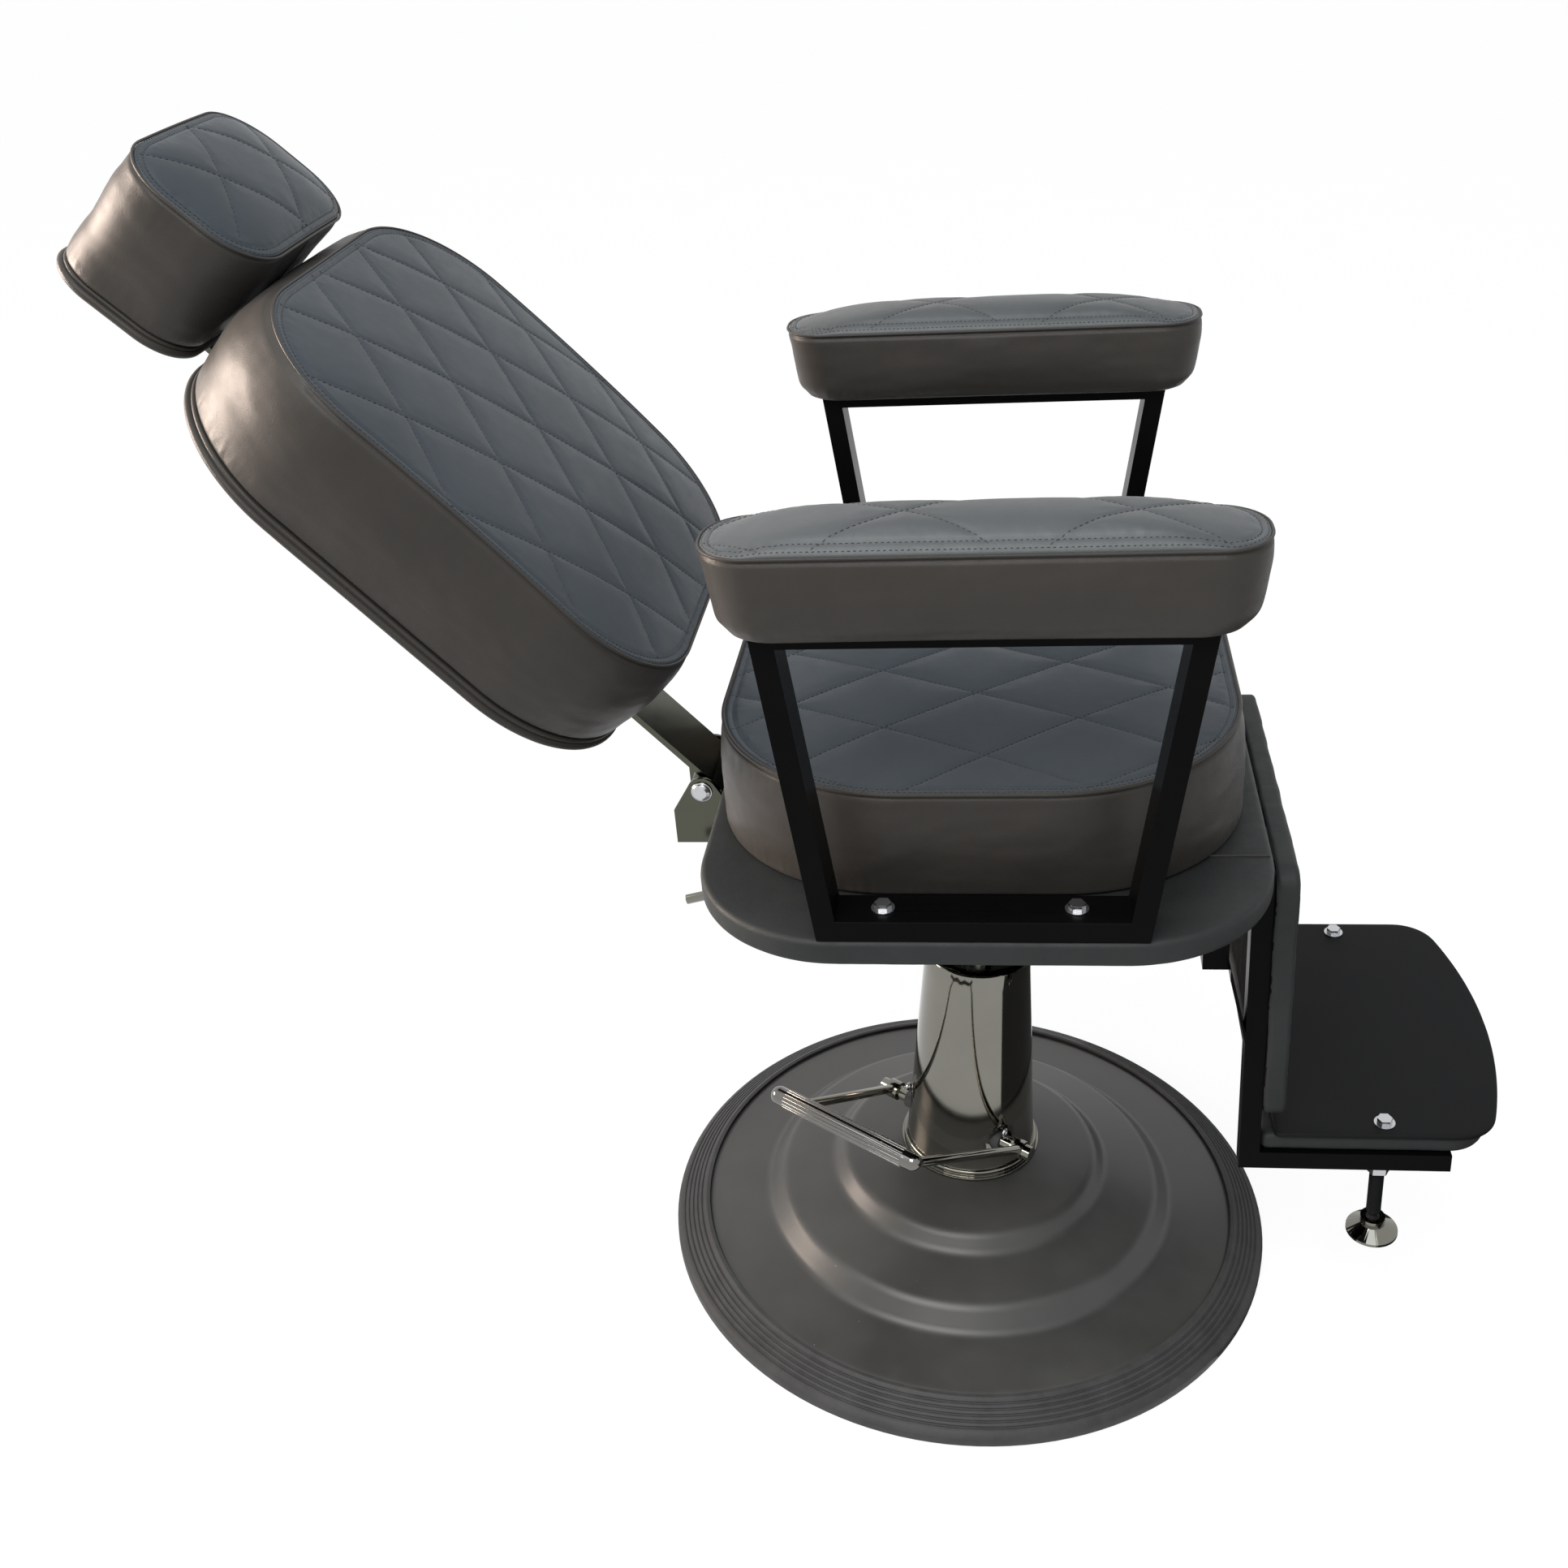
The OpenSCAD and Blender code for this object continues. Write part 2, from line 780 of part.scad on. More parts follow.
module ram_seal() {
    color(rubber) {
        translate([0, 0, ram_low - 2 * seal_t + seal_gap]) difference() {
            cylinder(r = bore_r - seal_gap, h = 2 * seal_t - 2 * seal_gap);
            translate([0, 0, -cut]) cylinder(r = ram_r - 2 * spigot_taper + seal_gap, h = 2 * seal_t + 2 * cut);
        }
    }
}

module seat_saddle() {
    plate_z = -board_t - saddle_plate_t;
    color(black_paint) {
        difference() {
            union() {
                seat_frame() translate([-saddle_half, -rail_in, plate_z]) {
                    cube([2 * saddle_half, 2 * rail_in, saddle_plate_t]);
                }
                translate([0, 0, seat_h - saddle_depth]) {
                    cylinder(r = saddle_r, h = saddle_depth - board_t - web_t);
                }
            }
            translate([0, 0, seat_h - saddle_depth - cut]) {
                cylinder(r = ram_r + run_gap, h = ram_top + cut + seat_gap - seat_h + saddle_depth);
            }
        }
    }
}

module lever_bore() {
    translate([lever_x, 0, lever_z]) rotate([90, 0, 0]) cylinder(r = lever_shaft_r + run_gap, h = 2 * lever_y);
}

module under_frame() {
    leg_in = leg_out - leg;
    color(black_paint) {
        seat_frame() difference() {
            union() for (s = [-1, 1]) {
                translate([rail_rear, s > 0 ? rail_in : -rail_in - rail, -board_t - rail]) {
                    cube([leg_front - rail_rear, rail, rail]);
                }
                translate([leg_front - leg, s > 0 ? leg_in : -leg_out, -leg_drop]) {
                    cube([leg, leg, leg_drop - board_t]);
                }
                translate([lever_x - leg / 2, s > 0 ? rail_in : -leg_out, -board_t - web_t]) {
                    cube([leg, leg_out - rail_in, web_t]);
                }
                translate([leg_front - leg, -leg_out, -board_t - leg]) cube([leg, 2 * leg_out, leg]);
            }
            lever_bore();
        }
    }
}

module ear_outline() {
    translate([-hinge_x, -hinge_z]) {
        circle(r = ear_head_r);
        polygon([
            [-ear_head_r * 0.89, ear_head_r * 0.46],
            [-ear_rear, -ear_shoulder],
            [-ear_rear, -ear_drop],
            [ear_front, -ear_drop],
            [ear_front, hinge_z - board_t],
            [hinge_x - board_half_x, hinge_z - board_t],
            [ear_head_r * 0.86, ear_head_r * 0.51]
        ]);
    }
}

module recline_bracket() {
    color(steel) {
        seat_frame() {
            for (s = [-1, 1]) {
                difference() {
                    side_plate(s > 0 ? ear_out - ear_t : -ear_out, ear_t) ear_outline();
                    translate([-hinge_x, 0, -hinge_z]) rotate([90, 0, 0]) {
                        cylinder(r = hinge_bolt_r + run_gap, h = 4 * ear_out, center = true);
                    }
                }
            }
            translate([-board_half_x + web_t, -ear_out, -board_t - web_t]) {
                cube([ear_front - hinge_x + board_half_x - web_t, 2 * ear_out, web_t]);
            }
        }
    }
}

module pivot_bolt() {
    color(zinc) {
        seat_frame() translate([-hinge_x, 0, -hinge_z]) rotate([90, 0, 0]) {
            cylinder(r = hinge_bolt_r, h = 2 * ear_out + hinge_head_t, center = true);
            for (s = [-1, 1]) {
                translate([0, 0, s * (ear_out + seat_gap)]) mirror([0, 0, s > 0 ? 0 : 1]) {
                    cylinder(r = hinge_head_r * 1.15, h = hinge_head_t * 0.3);
                    pan_screw(hinge_bolt_r, hinge_head_r, hinge_head_t, 0);
                }
            }
        }
    }
}

function horn_end() = [horn_l * sin(horn_turn), -horn_l * cos(horn_turn)];

function gas_run() = [-hinge_x + horn_end().x - gas_front_x, -hinge_z + horn_end().y - gas_front_z];

function gas_length() = norm(gas_run());

// The gas spring's own frame: origin at its front pin, x along it to the rear
module gas_frame() {
    run = gas_run();
    seat_frame() translate([gas_front_x, 0, gas_front_z]) rotate([0, -atan2(run.y, run.x), 0]) children();
}

module gas_spring_clevis() {
    color(steel) {
        seat_frame() {
            for (s = [-1, 1]) {
                side_plate(s > 0 ? gas_eye_half + seat_gap : -gas_eye_half - seat_gap - clevis_t, clevis_t) {
                    translate([gas_front_x, gas_front_z]) circle(r = gas_eye_r);
                    translate([gas_front_x - gas_eye_r, gas_front_z]) {
                        square([2 * gas_eye_r, -board_t - saddle_plate_t - gas_front_z]);
                    }
                }
            }
            translate([gas_front_x - gas_eye_r, -rail_in, -board_t - saddle_plate_t]) {
                cube([2 * gas_eye_r, 2 * rail_in, saddle_plate_t]);
            }
            translate([gas_front_x, 0, gas_front_z]) rotate([90, 0, 0]) {
                cylinder(r = gas_pin_r, h = 2 * (gas_eye_half + clevis_t + seat_gap), center = true);
            }
        }
    }
}

module gas_spring_rod() {
    color(chrome) {
        gas_frame() difference() {
            union() {
                rotate([90, 0, 0]) cylinder(r = gas_eye_r - seat_gap, h = 2 * gas_eye_half, center = true);
                rotate([0, 90, 0]) cylinder(r = gas_rod_r, h = gas_nose + gas_rod_in);
                rotate([0, -90, 0]) cylinder(r = button_r, h = gas_eye_r + button_l);
                translate([gas_nose + gas_rod_in, 0, 0]) rotate([0, 90, 0]) {
                    cylinder(r = gas_chamber_r - seal_gap, h = gas_neck);
                }
            }
            rotate([90, 0, 0]) cylinder(r = gas_pin_r + run_gap, h = 4 * gas_eye_half, center = true);
        }
    }
}

module gas_spring_cylinder() {
    tail_start = gas_length() - gas_tail;
    body_l = tail_start - gas_nose;
    color(black_paint) {
        gas_frame() difference() {
            union() {
                translate([gas_nose, 0, 0]) rotate([0, 90, 0]) cylinder(r = gas_r, h = body_l);
                translate([tail_start - cut, 0, 0]) rotate([0, 90, 0]) {
                    cylinder(r = gas_rod_r, h = gas_tail + cut);
                }
                translate([gas_length(), 0, 0]) rotate([90, 0, 0]) {
                    cylinder(r = gas_tail_eye_r, h = 2 * gas_eye_half, center = true);
                }
            }
            translate([gas_nose - cut, 0, 0]) rotate([0, 90, 0]) {
                cylinder(r = gas_rod_r + run_gap, h = gas_neck + 2 * cut);
            }
            translate([gas_nose + gas_neck, 0, 0]) rotate([0, 90, 0]) {
                cylinder(r = gas_chamber_r, h = body_l - gas_neck - gas_floor);
            }
            translate([gas_length(), 0, 0]) rotate([90, 0, 0]) {
                cylinder(r = horn_pin_r + eye_play, h = 4 * gas_eye_half, center = true);
            }
        }
    }
}

module lever_frame() {
    seat_frame() translate([lever_x, 0, lever_z]) children();
}

module recline_lever() {
    color(chrome) {
        lever_frame() {
            translate([0, lever_finger_t / 2, 0]) rotate([90, 0, 0]) {
                cylinder(r = lever_shaft_r, h = lever_y + lever_hub_half + lever_finger_t / 2);
            }
            translate([0, lever_hub_half - lever_y, 0]) rotate([90, 0, 0]) {
                cylinder(r = lever_hub_r, h = 2 * lever_hub_half);
            }
            rod_between([0, -lever_y, 0], [lever_end_x - lever_x, -lever_y, lever_end_z - lever_z], lever_r);
            translate([-lever_finger_t / 2, -lever_finger_t / 2, -lever_finger_l]) {
                cube([lever_finger_t, lever_finger_t, lever_finger_l]);
            }
        }
    }
}

module lever_bracket() {
    ear_y = lever_y - lever_hub_half - seat_gap;
    color(black_paint) {
        lever_frame() difference() {
            side_plate(-ear_y, lever_ear_t) {
                circle(r = lever_hub_r);
                translate([-lever_hub_r, 0]) square([2 * lever_hub_r, -board_t - web_t - lever_z]);
            }
            rotate([90, 0, 0]) cylinder(r = lever_shaft_r + run_gap, h = 2 * lever_y);
        }
    }
}

module seat_board() {
    color(vinyl) {
        seat_frame() translate([0, 0, -board_t]) round_slab(board_half_x, board_half_y, board_corner, board_t);
    }
}

module seat_cushion() {
    color(vinyl) {
        seat_frame() translate([0, 0, soft_gap]) {
            cushion(
                [seat_half_x, seat_half_y, seat_corner, seat_mid_x],
                [seat_low_x, seat_low_y, seat_low_corner, seat_low_mid_x],
                seat_seam, seat_crown, seat_bulge, seat_quilt, 22, 22, 5
            );
        }
    }
}

module armrest_frame(side) {
    inner = frame_out - frame_w;
    slope = (frame_top_half - frame_low_half) / frame_h;
    in_low = frame_low_half + slope * frame_t - post_t;
    in_top = frame_top_half - slope * frame_top_t - post_t;
    lean = (frame_mid_top - frame_mid_low) / frame_h;
    low_mid = frame_mid_low + lean * frame_t;
    top_mid = frame_mid_top - lean * frame_top_t;
    color(black_paint) {
        seat_frame() difference() {
            side_plate(side > 0 ? inner : -frame_out, frame_w) difference() {
                polygon([
                    [frame_mid_low - frame_low_half, 0],
                    [frame_mid_low + frame_low_half, 0],
                    [frame_mid_top + frame_top_half, frame_h],
                    [frame_mid_top - frame_top_half, frame_h]
                ]);
                polygon([
                    [low_mid - in_low, frame_t],
                    [low_mid + in_low, frame_t],
                    [top_mid + in_top, frame_h - frame_top_t],
                    [top_mid - in_top, frame_h - frame_top_t]
                ]);
            }
            for (sx = [-1, 1]) {
                translate([sx * arm_bolt_x, side * (frame_out - frame_w / 2), -cut]) {
                    cylinder(r = bolt_r + run_gap, h = frame_t + 2 * cut);
                }
            }
        }
    }
}

module armrest_frame_right() {
    armrest_frame(-1);
}

module armrest_frame_left() {
    armrest_frame(1);
}

module armrest_bolts() {
    color(zinc) {
        seat_frame() for (sx = [-1, 1], sy = [-1, 1]) {
            translate([sx * arm_bolt_x, sy * (frame_out - frame_w / 2), frame_t]) hex_bolt(bolt_r, frame_t);
        }
    }
}

module armrest_pad(side) {
    color(vinyl) {
        seat_frame() translate([pad_mid_x, side * pad_mid_y, frame_h + soft_gap]) {
            cushion(
                [pad_half_x, pad_half_y, pad_corner, 0],
                [pad_half_x - pad_bulge, pad_half_y, pad_corner, 0],
                pad_seam, pad_crown, pad_bulge, pad_quilt, 26, 8, 4
            );
        }
    }
}

module armrest_pad_right() {
    armrest_pad(-1);
}

module armrest_pad_left() {
    armrest_pad(1);
}

module calf_panel() {
    color(vinyl) {
        seat_frame() translate([calf_x, 0, -(calf_top + calf_low) / 2]) rotate([0, 90, 0]) {
            round_slab((calf_low - calf_top) / 2, calf_half_y, calf_corner, calf_t);
        }
    }
}

module footrest_frame() {
    inner = tube_out - tube;
    rear = calf_x - soft_gap - tube;
    color(black_paint) {
        seat_frame() {
            for (s = [-1, 1]) {
                difference() {
                    side_plate(s > 0 ? inner : -tube_out, tube) {
                        translate([rear, -foot_low]) square([tube, foot_low - board_t]);
                        translate([rear, -foot_low]) square([tube_front - rear, tube]);
                        polygon([
                            [rear, -leg_drop - 3 * leg],
                            [rear, -leg_drop - 3 * leg + brace_w],
                            [leg_front, -leg_drop + brace_w],
                            [leg_front, -leg_drop]
                        ]);
                    }
                    translate([foot_bolt_x, s * foot_bolt_y, soft_gap - foot_board_low - foot_bolt_in]) {
                        cylinder(r = bolt_r + run_gap, h = foot_low);
                    }
                    translate([foot_x, s * foot_y, -foot_low - cut]) {
                        cylinder(r = foot_rod_r + run_gap, h = foot_nut_t + cut);
                    }
                }
            }
            translate([leg_front + seat_gap, -tube_out, -board_t - tube]) {
                cube([rear - leg_front, 2 * tube_out, tube]);
            }
        }
    }
}

// Footrest outline, widest at the rear, with a bowed front
module tread_outline(rear, front, half, corner) {
    bow = (front - rear) * 0.13;
    side_x = front - bow;
    bow_r = (half * half + bow * bow) / (2 * bow);
    intersection() {
        union() {
            translate([rear, -half]) square([side_x - corner - rear, 2 * half]);
            translate([rear, -half + corner]) square([front - rear, 2 * (half - corner)]);
            for (s = [-1, 1]) translate([side_x - corner, s * (half - corner)]) circle(r = corner, $fn = 64);
        }
        translate([front - bow_r, 0]) circle(r = bow_r, $fn = 180);
    }
}

module footrest_board() {
    color(vinyl) {
        seat_frame() translate([0, 0, -foot_board_low + soft_gap]) difference() {
            linear_extrude(foot_board_t) {
                tread_outline(foot_board_rear, foot_board_front, foot_plate_half - foot_plate_t, plate_corner);
            }
            for (s = [-1, 1]) {
                translate([foot_bolt_x, s * foot_bolt_y, -cut]) {
                    cylinder(r = bolt_r + run_gap, h = foot_board_t + 2 * cut);
                }
            }
        }
    }
}

function plate_low() = -foot_board_low + 2 * soft_gap + foot_board_t;

module footrest_plate() {
    color(black_paint) {
        seat_frame() translate([0, 0, plate_low()]) difference() {
            linear_extrude(foot_plate_t) {
                tread_outline(plate_rear, foot_plate_front, foot_plate_half, plate_corner);
            }
            for (s = [-1, 1]) {
                translate([foot_bolt_x, s * foot_bolt_y, -cut]) {
                    cylinder(r = bolt_r + run_gap, h = foot_plate_t + 2 * cut);
                }
            }
        }
    }
}

module footrest_bolts() {
    color(zinc) {
        seat_frame() for (s = [-1, 1]) {
            translate([foot_bolt_x, s * foot_bolt_y, plate_low() + foot_plate_t]) {
                hex_bolt(bolt_r, foot_plate_t + foot_board_t + foot_bolt_in);
            }
        }
    }
}

module foot_nuts() {
    color(zinc) {
        seat_frame() for (s = [-1, 1]) {
            translate([foot_x, s * foot_y, -foot_low - foot_nut_t]) difference() {
                cylinder(r = foot_nut_r, h = foot_nut_t, $fn = 6);
                translate([0, 0, -cut]) cylinder(r = foot_rod_r + run_gap, h = foot_nut_t + 2 * cut);
            }
        }
    }
}

module foot_rod(side) {
    color("#1d1d1f") {
        seat_frame() translate([foot_x, side * foot_y, -foot_low - foot_rod_l]) {
            translate([0, 0, foot_neck_l]) {
                cylinder(r = foot_rod_r, h = foot_rod_l + foot_nut_t - soft_gap - foot_neck_l);
            }
            cylinder(r = foot_neck_r, h = foot_neck_l + foot_neck_r);
            rotate([90, 0, 0]) sphere(r = foot_ball_r, $fn = 48);
        }
    }
}

module foot_rod_right() {
    foot_rod(-1);
}

module foot_rod_left() {
    foot_rod(1);
}

module foot_disc(side) {
    hub_r = foot_ball_r + 3 * foot_disc_rim / 2;
    color(chrome) {
        seat_frame() translate([foot_x, side * foot_y, -foot_low - foot_rod_l]) difference() {
            rotate_extrude($fn = 64) {
                polygon([
                    [0, -foot_disc_t],
                    [foot_disc_r, -foot_disc_t],
                    [foot_disc_r, -foot_disc_t + foot_disc_rim],
                    [hub_r, -foot_ball_r / 2],
                    [hub_r, foot_ball_r / 2],
                    [0, foot_ball_r / 2]
                ]);
            }
            rotate([90, 0, 0]) sphere(r = foot_ball_r + foot_socket_gap, $fn = 48);
        }
    }
}

module foot_disc_right() {
    foot_disc(-1);
}

module foot_disc_left() {
    foot_disc(1);
}

module bar_screw_places() {
    for (sx = [1, 3], sy = [-1, 1]) {
        translate([sx * back_bar_w / 4 - bar_up, sy * back_bar_w / 4, bar_front - back_bar_t]) {
            mirror([0, 0, 1]) children();
        }
    }
}

module back_bar() {
    bar_low = bar_front - back_bar_t;
    color(steel) {
        back_frame() {
            difference() {
                union() {
                    translate([-bar_up, -back_bar_w / 2, bar_low]) {
                        cube([bar_up + bar_tail, back_bar_w, back_bar_t]);
                    }
                    rotate([90, 0, 0]) cylinder(r = sleeve_r, h = back_bar_w, center = true);
                }
                rotate([90, 0, 0]) cylinder(r = hinge_bolt_r + run_gap, h = 2 * back_bar_w, center = true);
                bar_screw_places() translate([0, 0, -back_bar_t - cut]) {
                    cylinder(r = screw_r + run_gap, h = back_bar_t + 2 * cut);
                }
            }
        }
        seat_frame() translate([-hinge_x, 0, -hinge_z]) {
            end = horn_end();
            for (s = [-1, 1]) {
                difference() {
                    side_plate(s > 0 ? horn_in : -horn_in - horn_t, horn_t) {
                        translate(end) circle(r = horn_r);
                        rotate(horn_turn) translate([-horn_half, -horn_l]) square([2 * horn_half, horn_l]);
                    }
                    rotate([90, 0, 0]) cylinder(r = sleeve_r - web_t, h = 2 * back_bar_w, center = true);
                }
            }
            translate([end.x, 0, end.y]) rotate([90, 0, 0]) {
                cylinder(r = horn_pin_r, h = 2 * (horn_in + horn_t), center = true);
            }
        }
    }
}

module back_bar_screws() {
    color(zinc) {
        back_frame() bar_screw_places() pan_screw(screw_r, screw_head_r, screw_head_t, back_bar_t);
    }
}

module back_board() {
    color(vinyl) {
        back_frame() translate([-back_reach, 0, bar_front]) {
            round_slab(back_low_x, back_low_y, back_low_corner, back_board_t);
            round_slab(back_low_x + back_lip, back_low_y + back_lip, back_low_corner + back_lip, back_lip);
        }
    }
}

module backrest_cushion() {
    base = bar_front + back_board_t + soft_gap;
    color(vinyl) {
        back_frame() translate([-back_reach, 0, base]) {
            cushion(
                [back_half_x, back_half_y, back_corner, 0],
                [back_low_x, back_low_y, back_low_corner, 0],
                back_seam - base, back_crown, back_bulge, back_quilt, 22, 22, 5
            );
        }
    }
}

module guide_screw_places() {
    for (s = [-1, 1]) {
        translate([(guide_low + guide_high) / 2, s * (guide_w / 2 - screw_head_r), bar_front - guide_deep]) {
            mirror([0, 0, 1]) children();
        }
    }
}

module headrest_guide() {
    color(steel) {
        back_frame() difference() {
            translate([guide_high, -guide_w / 2, bar_front - guide_deep]) {
                cube([guide_low - guide_high, guide_w, guide_deep]);
            }
            translate([guide_high - cut, -post_w / 2 - post_play, post_back - post_play]) {
                cube([guide_low - guide_high + 2 * cut, post_w + 2 * post_play, post_thick + 2 * post_play]);
            }
            guide_screw_places() translate([0, 0, -guide_deep - cut]) {
                cylinder(r = screw_r + run_gap, h = guide_deep + 2 * cut);
            }
        }
    }
}

module guide_screws() {
    color(zinc) {
        back_frame() guide_screw_places() pan_screw(screw_r, screw_head_r, screw_head_t, guide_deep);
    }
}

// Place in the back's frame, along x and z, of a place in the headrest's frame
function head_point(x, z) = [
    -head_reach + x * cos(head_lean) - z * sin(head_lean),
    head_seam + x * sin(head_lean) + z * cos(head_lean)
];

module headrest_post() {
    plate_face = -head_depth;
    low = head_point(head_plate_half, plate_face);
    high = head_point(-head_plate_half, plate_face);
    color(steel) {
        back_frame() {
            translate([high.x, -post_w / 2, post_back]) cube([post_low - high.x, post_w, post_thick]);
            side_plate(-post_w / 2, post_w) polygon([
                low,
                high,
                [high.x, post_back],
                [low.x + head_plate_t, post_back],
                [low.x + head_plate_t, post_back + post_thick]
            ]);
        }
    }
}

module headrest_board() {
    color(vinyl) {
        head_frame() translate([head_low_mid_x, 0, -head_depth]) {
            round_slab(head_low_x, head_low_y, head_low_corner, head_board_t);
            round_slab(head_low_x + head_lip, head_low_y + head_lip, head_low_corner + head_lip, head_lip);
        }
    }
}

module headrest_cushion() {
    base = -head_depth + head_board_t + soft_gap;
    color(vinyl) {
        head_frame() translate([0, 0, base]) {
            cushion(
                [head_half_x, head_half_y, head_corner, 0],
                [head_low_x, head_low_y, head_low_corner, head_low_mid_x],
                -base, head_crown, head_bulge, head_quilt, 12, 18, 4
            );
        }
    }
}

base_dome();
base_rubber_ring();
base_plate();
pump_body();
pump_gland();
pump_bolts();
pump_cover();
pedal_bushes();
pedal_shaft();
pedal_arms();
pedal_bar();
split_pins();
ram();
ram_seal();
seat_saddle();
under_frame();
recline_bracket();
pivot_bolt();
gas_spring_clevis();
gas_spring_rod();
gas_spring_cylinder();
recline_lever();
lever_bracket();
seat_board();
seat_cushion();
armrest_frame_right();
armrest_frame_left();
armrest_bolts();
armrest_pad_right();
armrest_pad_left();
calf_panel();
footrest_frame();
footrest_board();
footrest_plate();
footrest_bolts();
foot_nuts();
foot_rod_right();
foot_rod_left();
foot_disc_right();
foot_disc_left();
back_bar();
back_bar_screws();
back_board();
backrest_cushion();
headrest_guide();
guide_screws();
headrest_post();
headrest_board();
headrest_cushion();
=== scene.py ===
"""A barber chair: camera, light, upholstery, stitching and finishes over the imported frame."""
import json
import math
from collections import namedtuple

import bmesh
import bpy
from mathutils import Matrix, Vector, noise
from mathutils.bvhtree import BVHTree


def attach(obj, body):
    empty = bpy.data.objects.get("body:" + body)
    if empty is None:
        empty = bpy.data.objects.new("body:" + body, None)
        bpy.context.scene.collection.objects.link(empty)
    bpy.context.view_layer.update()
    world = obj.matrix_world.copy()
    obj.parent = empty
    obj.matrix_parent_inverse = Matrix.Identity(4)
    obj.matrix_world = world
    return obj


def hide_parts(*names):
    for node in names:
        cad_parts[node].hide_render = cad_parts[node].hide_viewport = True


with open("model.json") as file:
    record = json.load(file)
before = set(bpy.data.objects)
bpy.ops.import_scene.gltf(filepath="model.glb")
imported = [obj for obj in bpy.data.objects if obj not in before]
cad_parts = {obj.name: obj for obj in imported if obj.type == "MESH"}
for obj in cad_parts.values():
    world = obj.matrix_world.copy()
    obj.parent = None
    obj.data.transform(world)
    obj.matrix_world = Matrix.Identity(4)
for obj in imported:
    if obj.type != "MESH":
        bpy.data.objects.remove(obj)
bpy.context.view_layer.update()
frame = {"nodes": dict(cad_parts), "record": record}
NODES = frame["nodes"]
scene = bpy.context.scene
MM = 0.001

# The CAD's frames of reference
SEAT = Matrix.Translation((0, 0, 0.6124)) @ Matrix.Rotation(math.radians(-3.38), 4, "Y")
BACK = SEAT @ Matrix.Translation((-0.290, 0, -0.013)) @ Matrix.Rotation(math.radians(47.5), 4, "Y")
HEAD = BACK @ Matrix.Translation((-0.716, 0, 0.1383)) @ Matrix.Rotation(math.radians(-3.6), 4, "Y")

# Shapes in mm, in a cushion's own frame
Plan = namedtuple("Plan", "half_x half_y corner mid_x")
Seam = namedtuple("Seam", "height dip_x dip_y")
Bulge = namedtuple("Bulge", "rear sides")
Quilt = namedtuple("Quilt", "pitch_x pitch_y cross_x cross_y turn")


# Camera

def make_camera():
    """The photo's camera, solved from the base's rings, the armrest frames and the footrest."""
    eye = (-0.005305, -1.594261, 1.512168)
    yaw, pitch, roll = -0.098, 0.466, -0.003
    level = math.cos(pitch)
    forward = Vector((math.sin(yaw) * level, math.cos(yaw) * level, -math.sin(pitch)))
    right = Vector((math.cos(yaw), -math.sin(yaw), 0))
    up = right.cross(forward)
    turned_right = math.cos(roll) * right + math.sin(roll) * up
    turned_up = math.cos(roll) * up - math.sin(roll) * right
    data = bpy.data.cameras.new("camera")
    data.sensor_width = 36
    data.lens = 40.711
    data.shift_x = -0.02865
    data.shift_y = -0.07433
    camera = bpy.data.objects.new("camera", data)
    scene.collection.objects.link(camera)
    turn = Matrix((turned_right, turned_up, -forward)).transposed().to_4x4()
    camera.matrix_world = Matrix.Translation(eye) @ turn
    scene.camera = camera


# Materials

def new_material(name):
    material = bpy.data.materials.new(name)
    material.use_nodes = True
    tree = material.node_tree
    shader = tree.nodes["Principled BSDF"]
    return material, tree, shader


def node(tree, kind, **values):
    made = tree.nodes.new(kind)
    for key, value in values.items():
        if key in made.inputs:
            made.inputs[key].default_value = value
        else:
            setattr(made, key, value)
    return made


def ramp(tree, source, stops):
    """A colour ramp over the source; stops: (place, colour), the lowest first."""
    made = tree.nodes.new("ShaderNodeValToRGB")
    elements = made.color_ramp.elements
    while len(elements) < len(stops):
        elements.new(0.5)
    for element, (place, colour) in zip(elements, stops):
        element.position = place
        element.color = (*colour, 1)
    tree.links.new(source, made.inputs["Fac"])
    return made.outputs["Color"]


def grey(value):
    return (value, value, value)


def place(tree):
    return tree.nodes.new("ShaderNodeTexCoord").outputs["Object"]


def noise_at(tree, where, scale, detail=3, rough=0.5):
    made = node(tree, "ShaderNodeTexNoise", Scale=scale, Detail=detail, Roughness=rough)
    tree.links.new(where, made.inputs["Vector"])
    return made.outputs["Fac"]


def bump_chain(tree, shader, layers):
    """layers: (height socket, strength, distance), the coarsest first."""
    normal = None
    for height, strength, distance in layers:
        bump = node(tree, "ShaderNodeBump", Strength=strength, Distance=distance)
        tree.links.new(height, bump.inputs["Height"])
        if normal is not None:
            tree.links.new(normal, bump.inputs["Normal"])
        normal = bump.outputs["Normal"]
    tree.links.new(normal, shader.inputs["Normal"])


GRAIN_CELLS = 620
PEEL_CELLS = 420


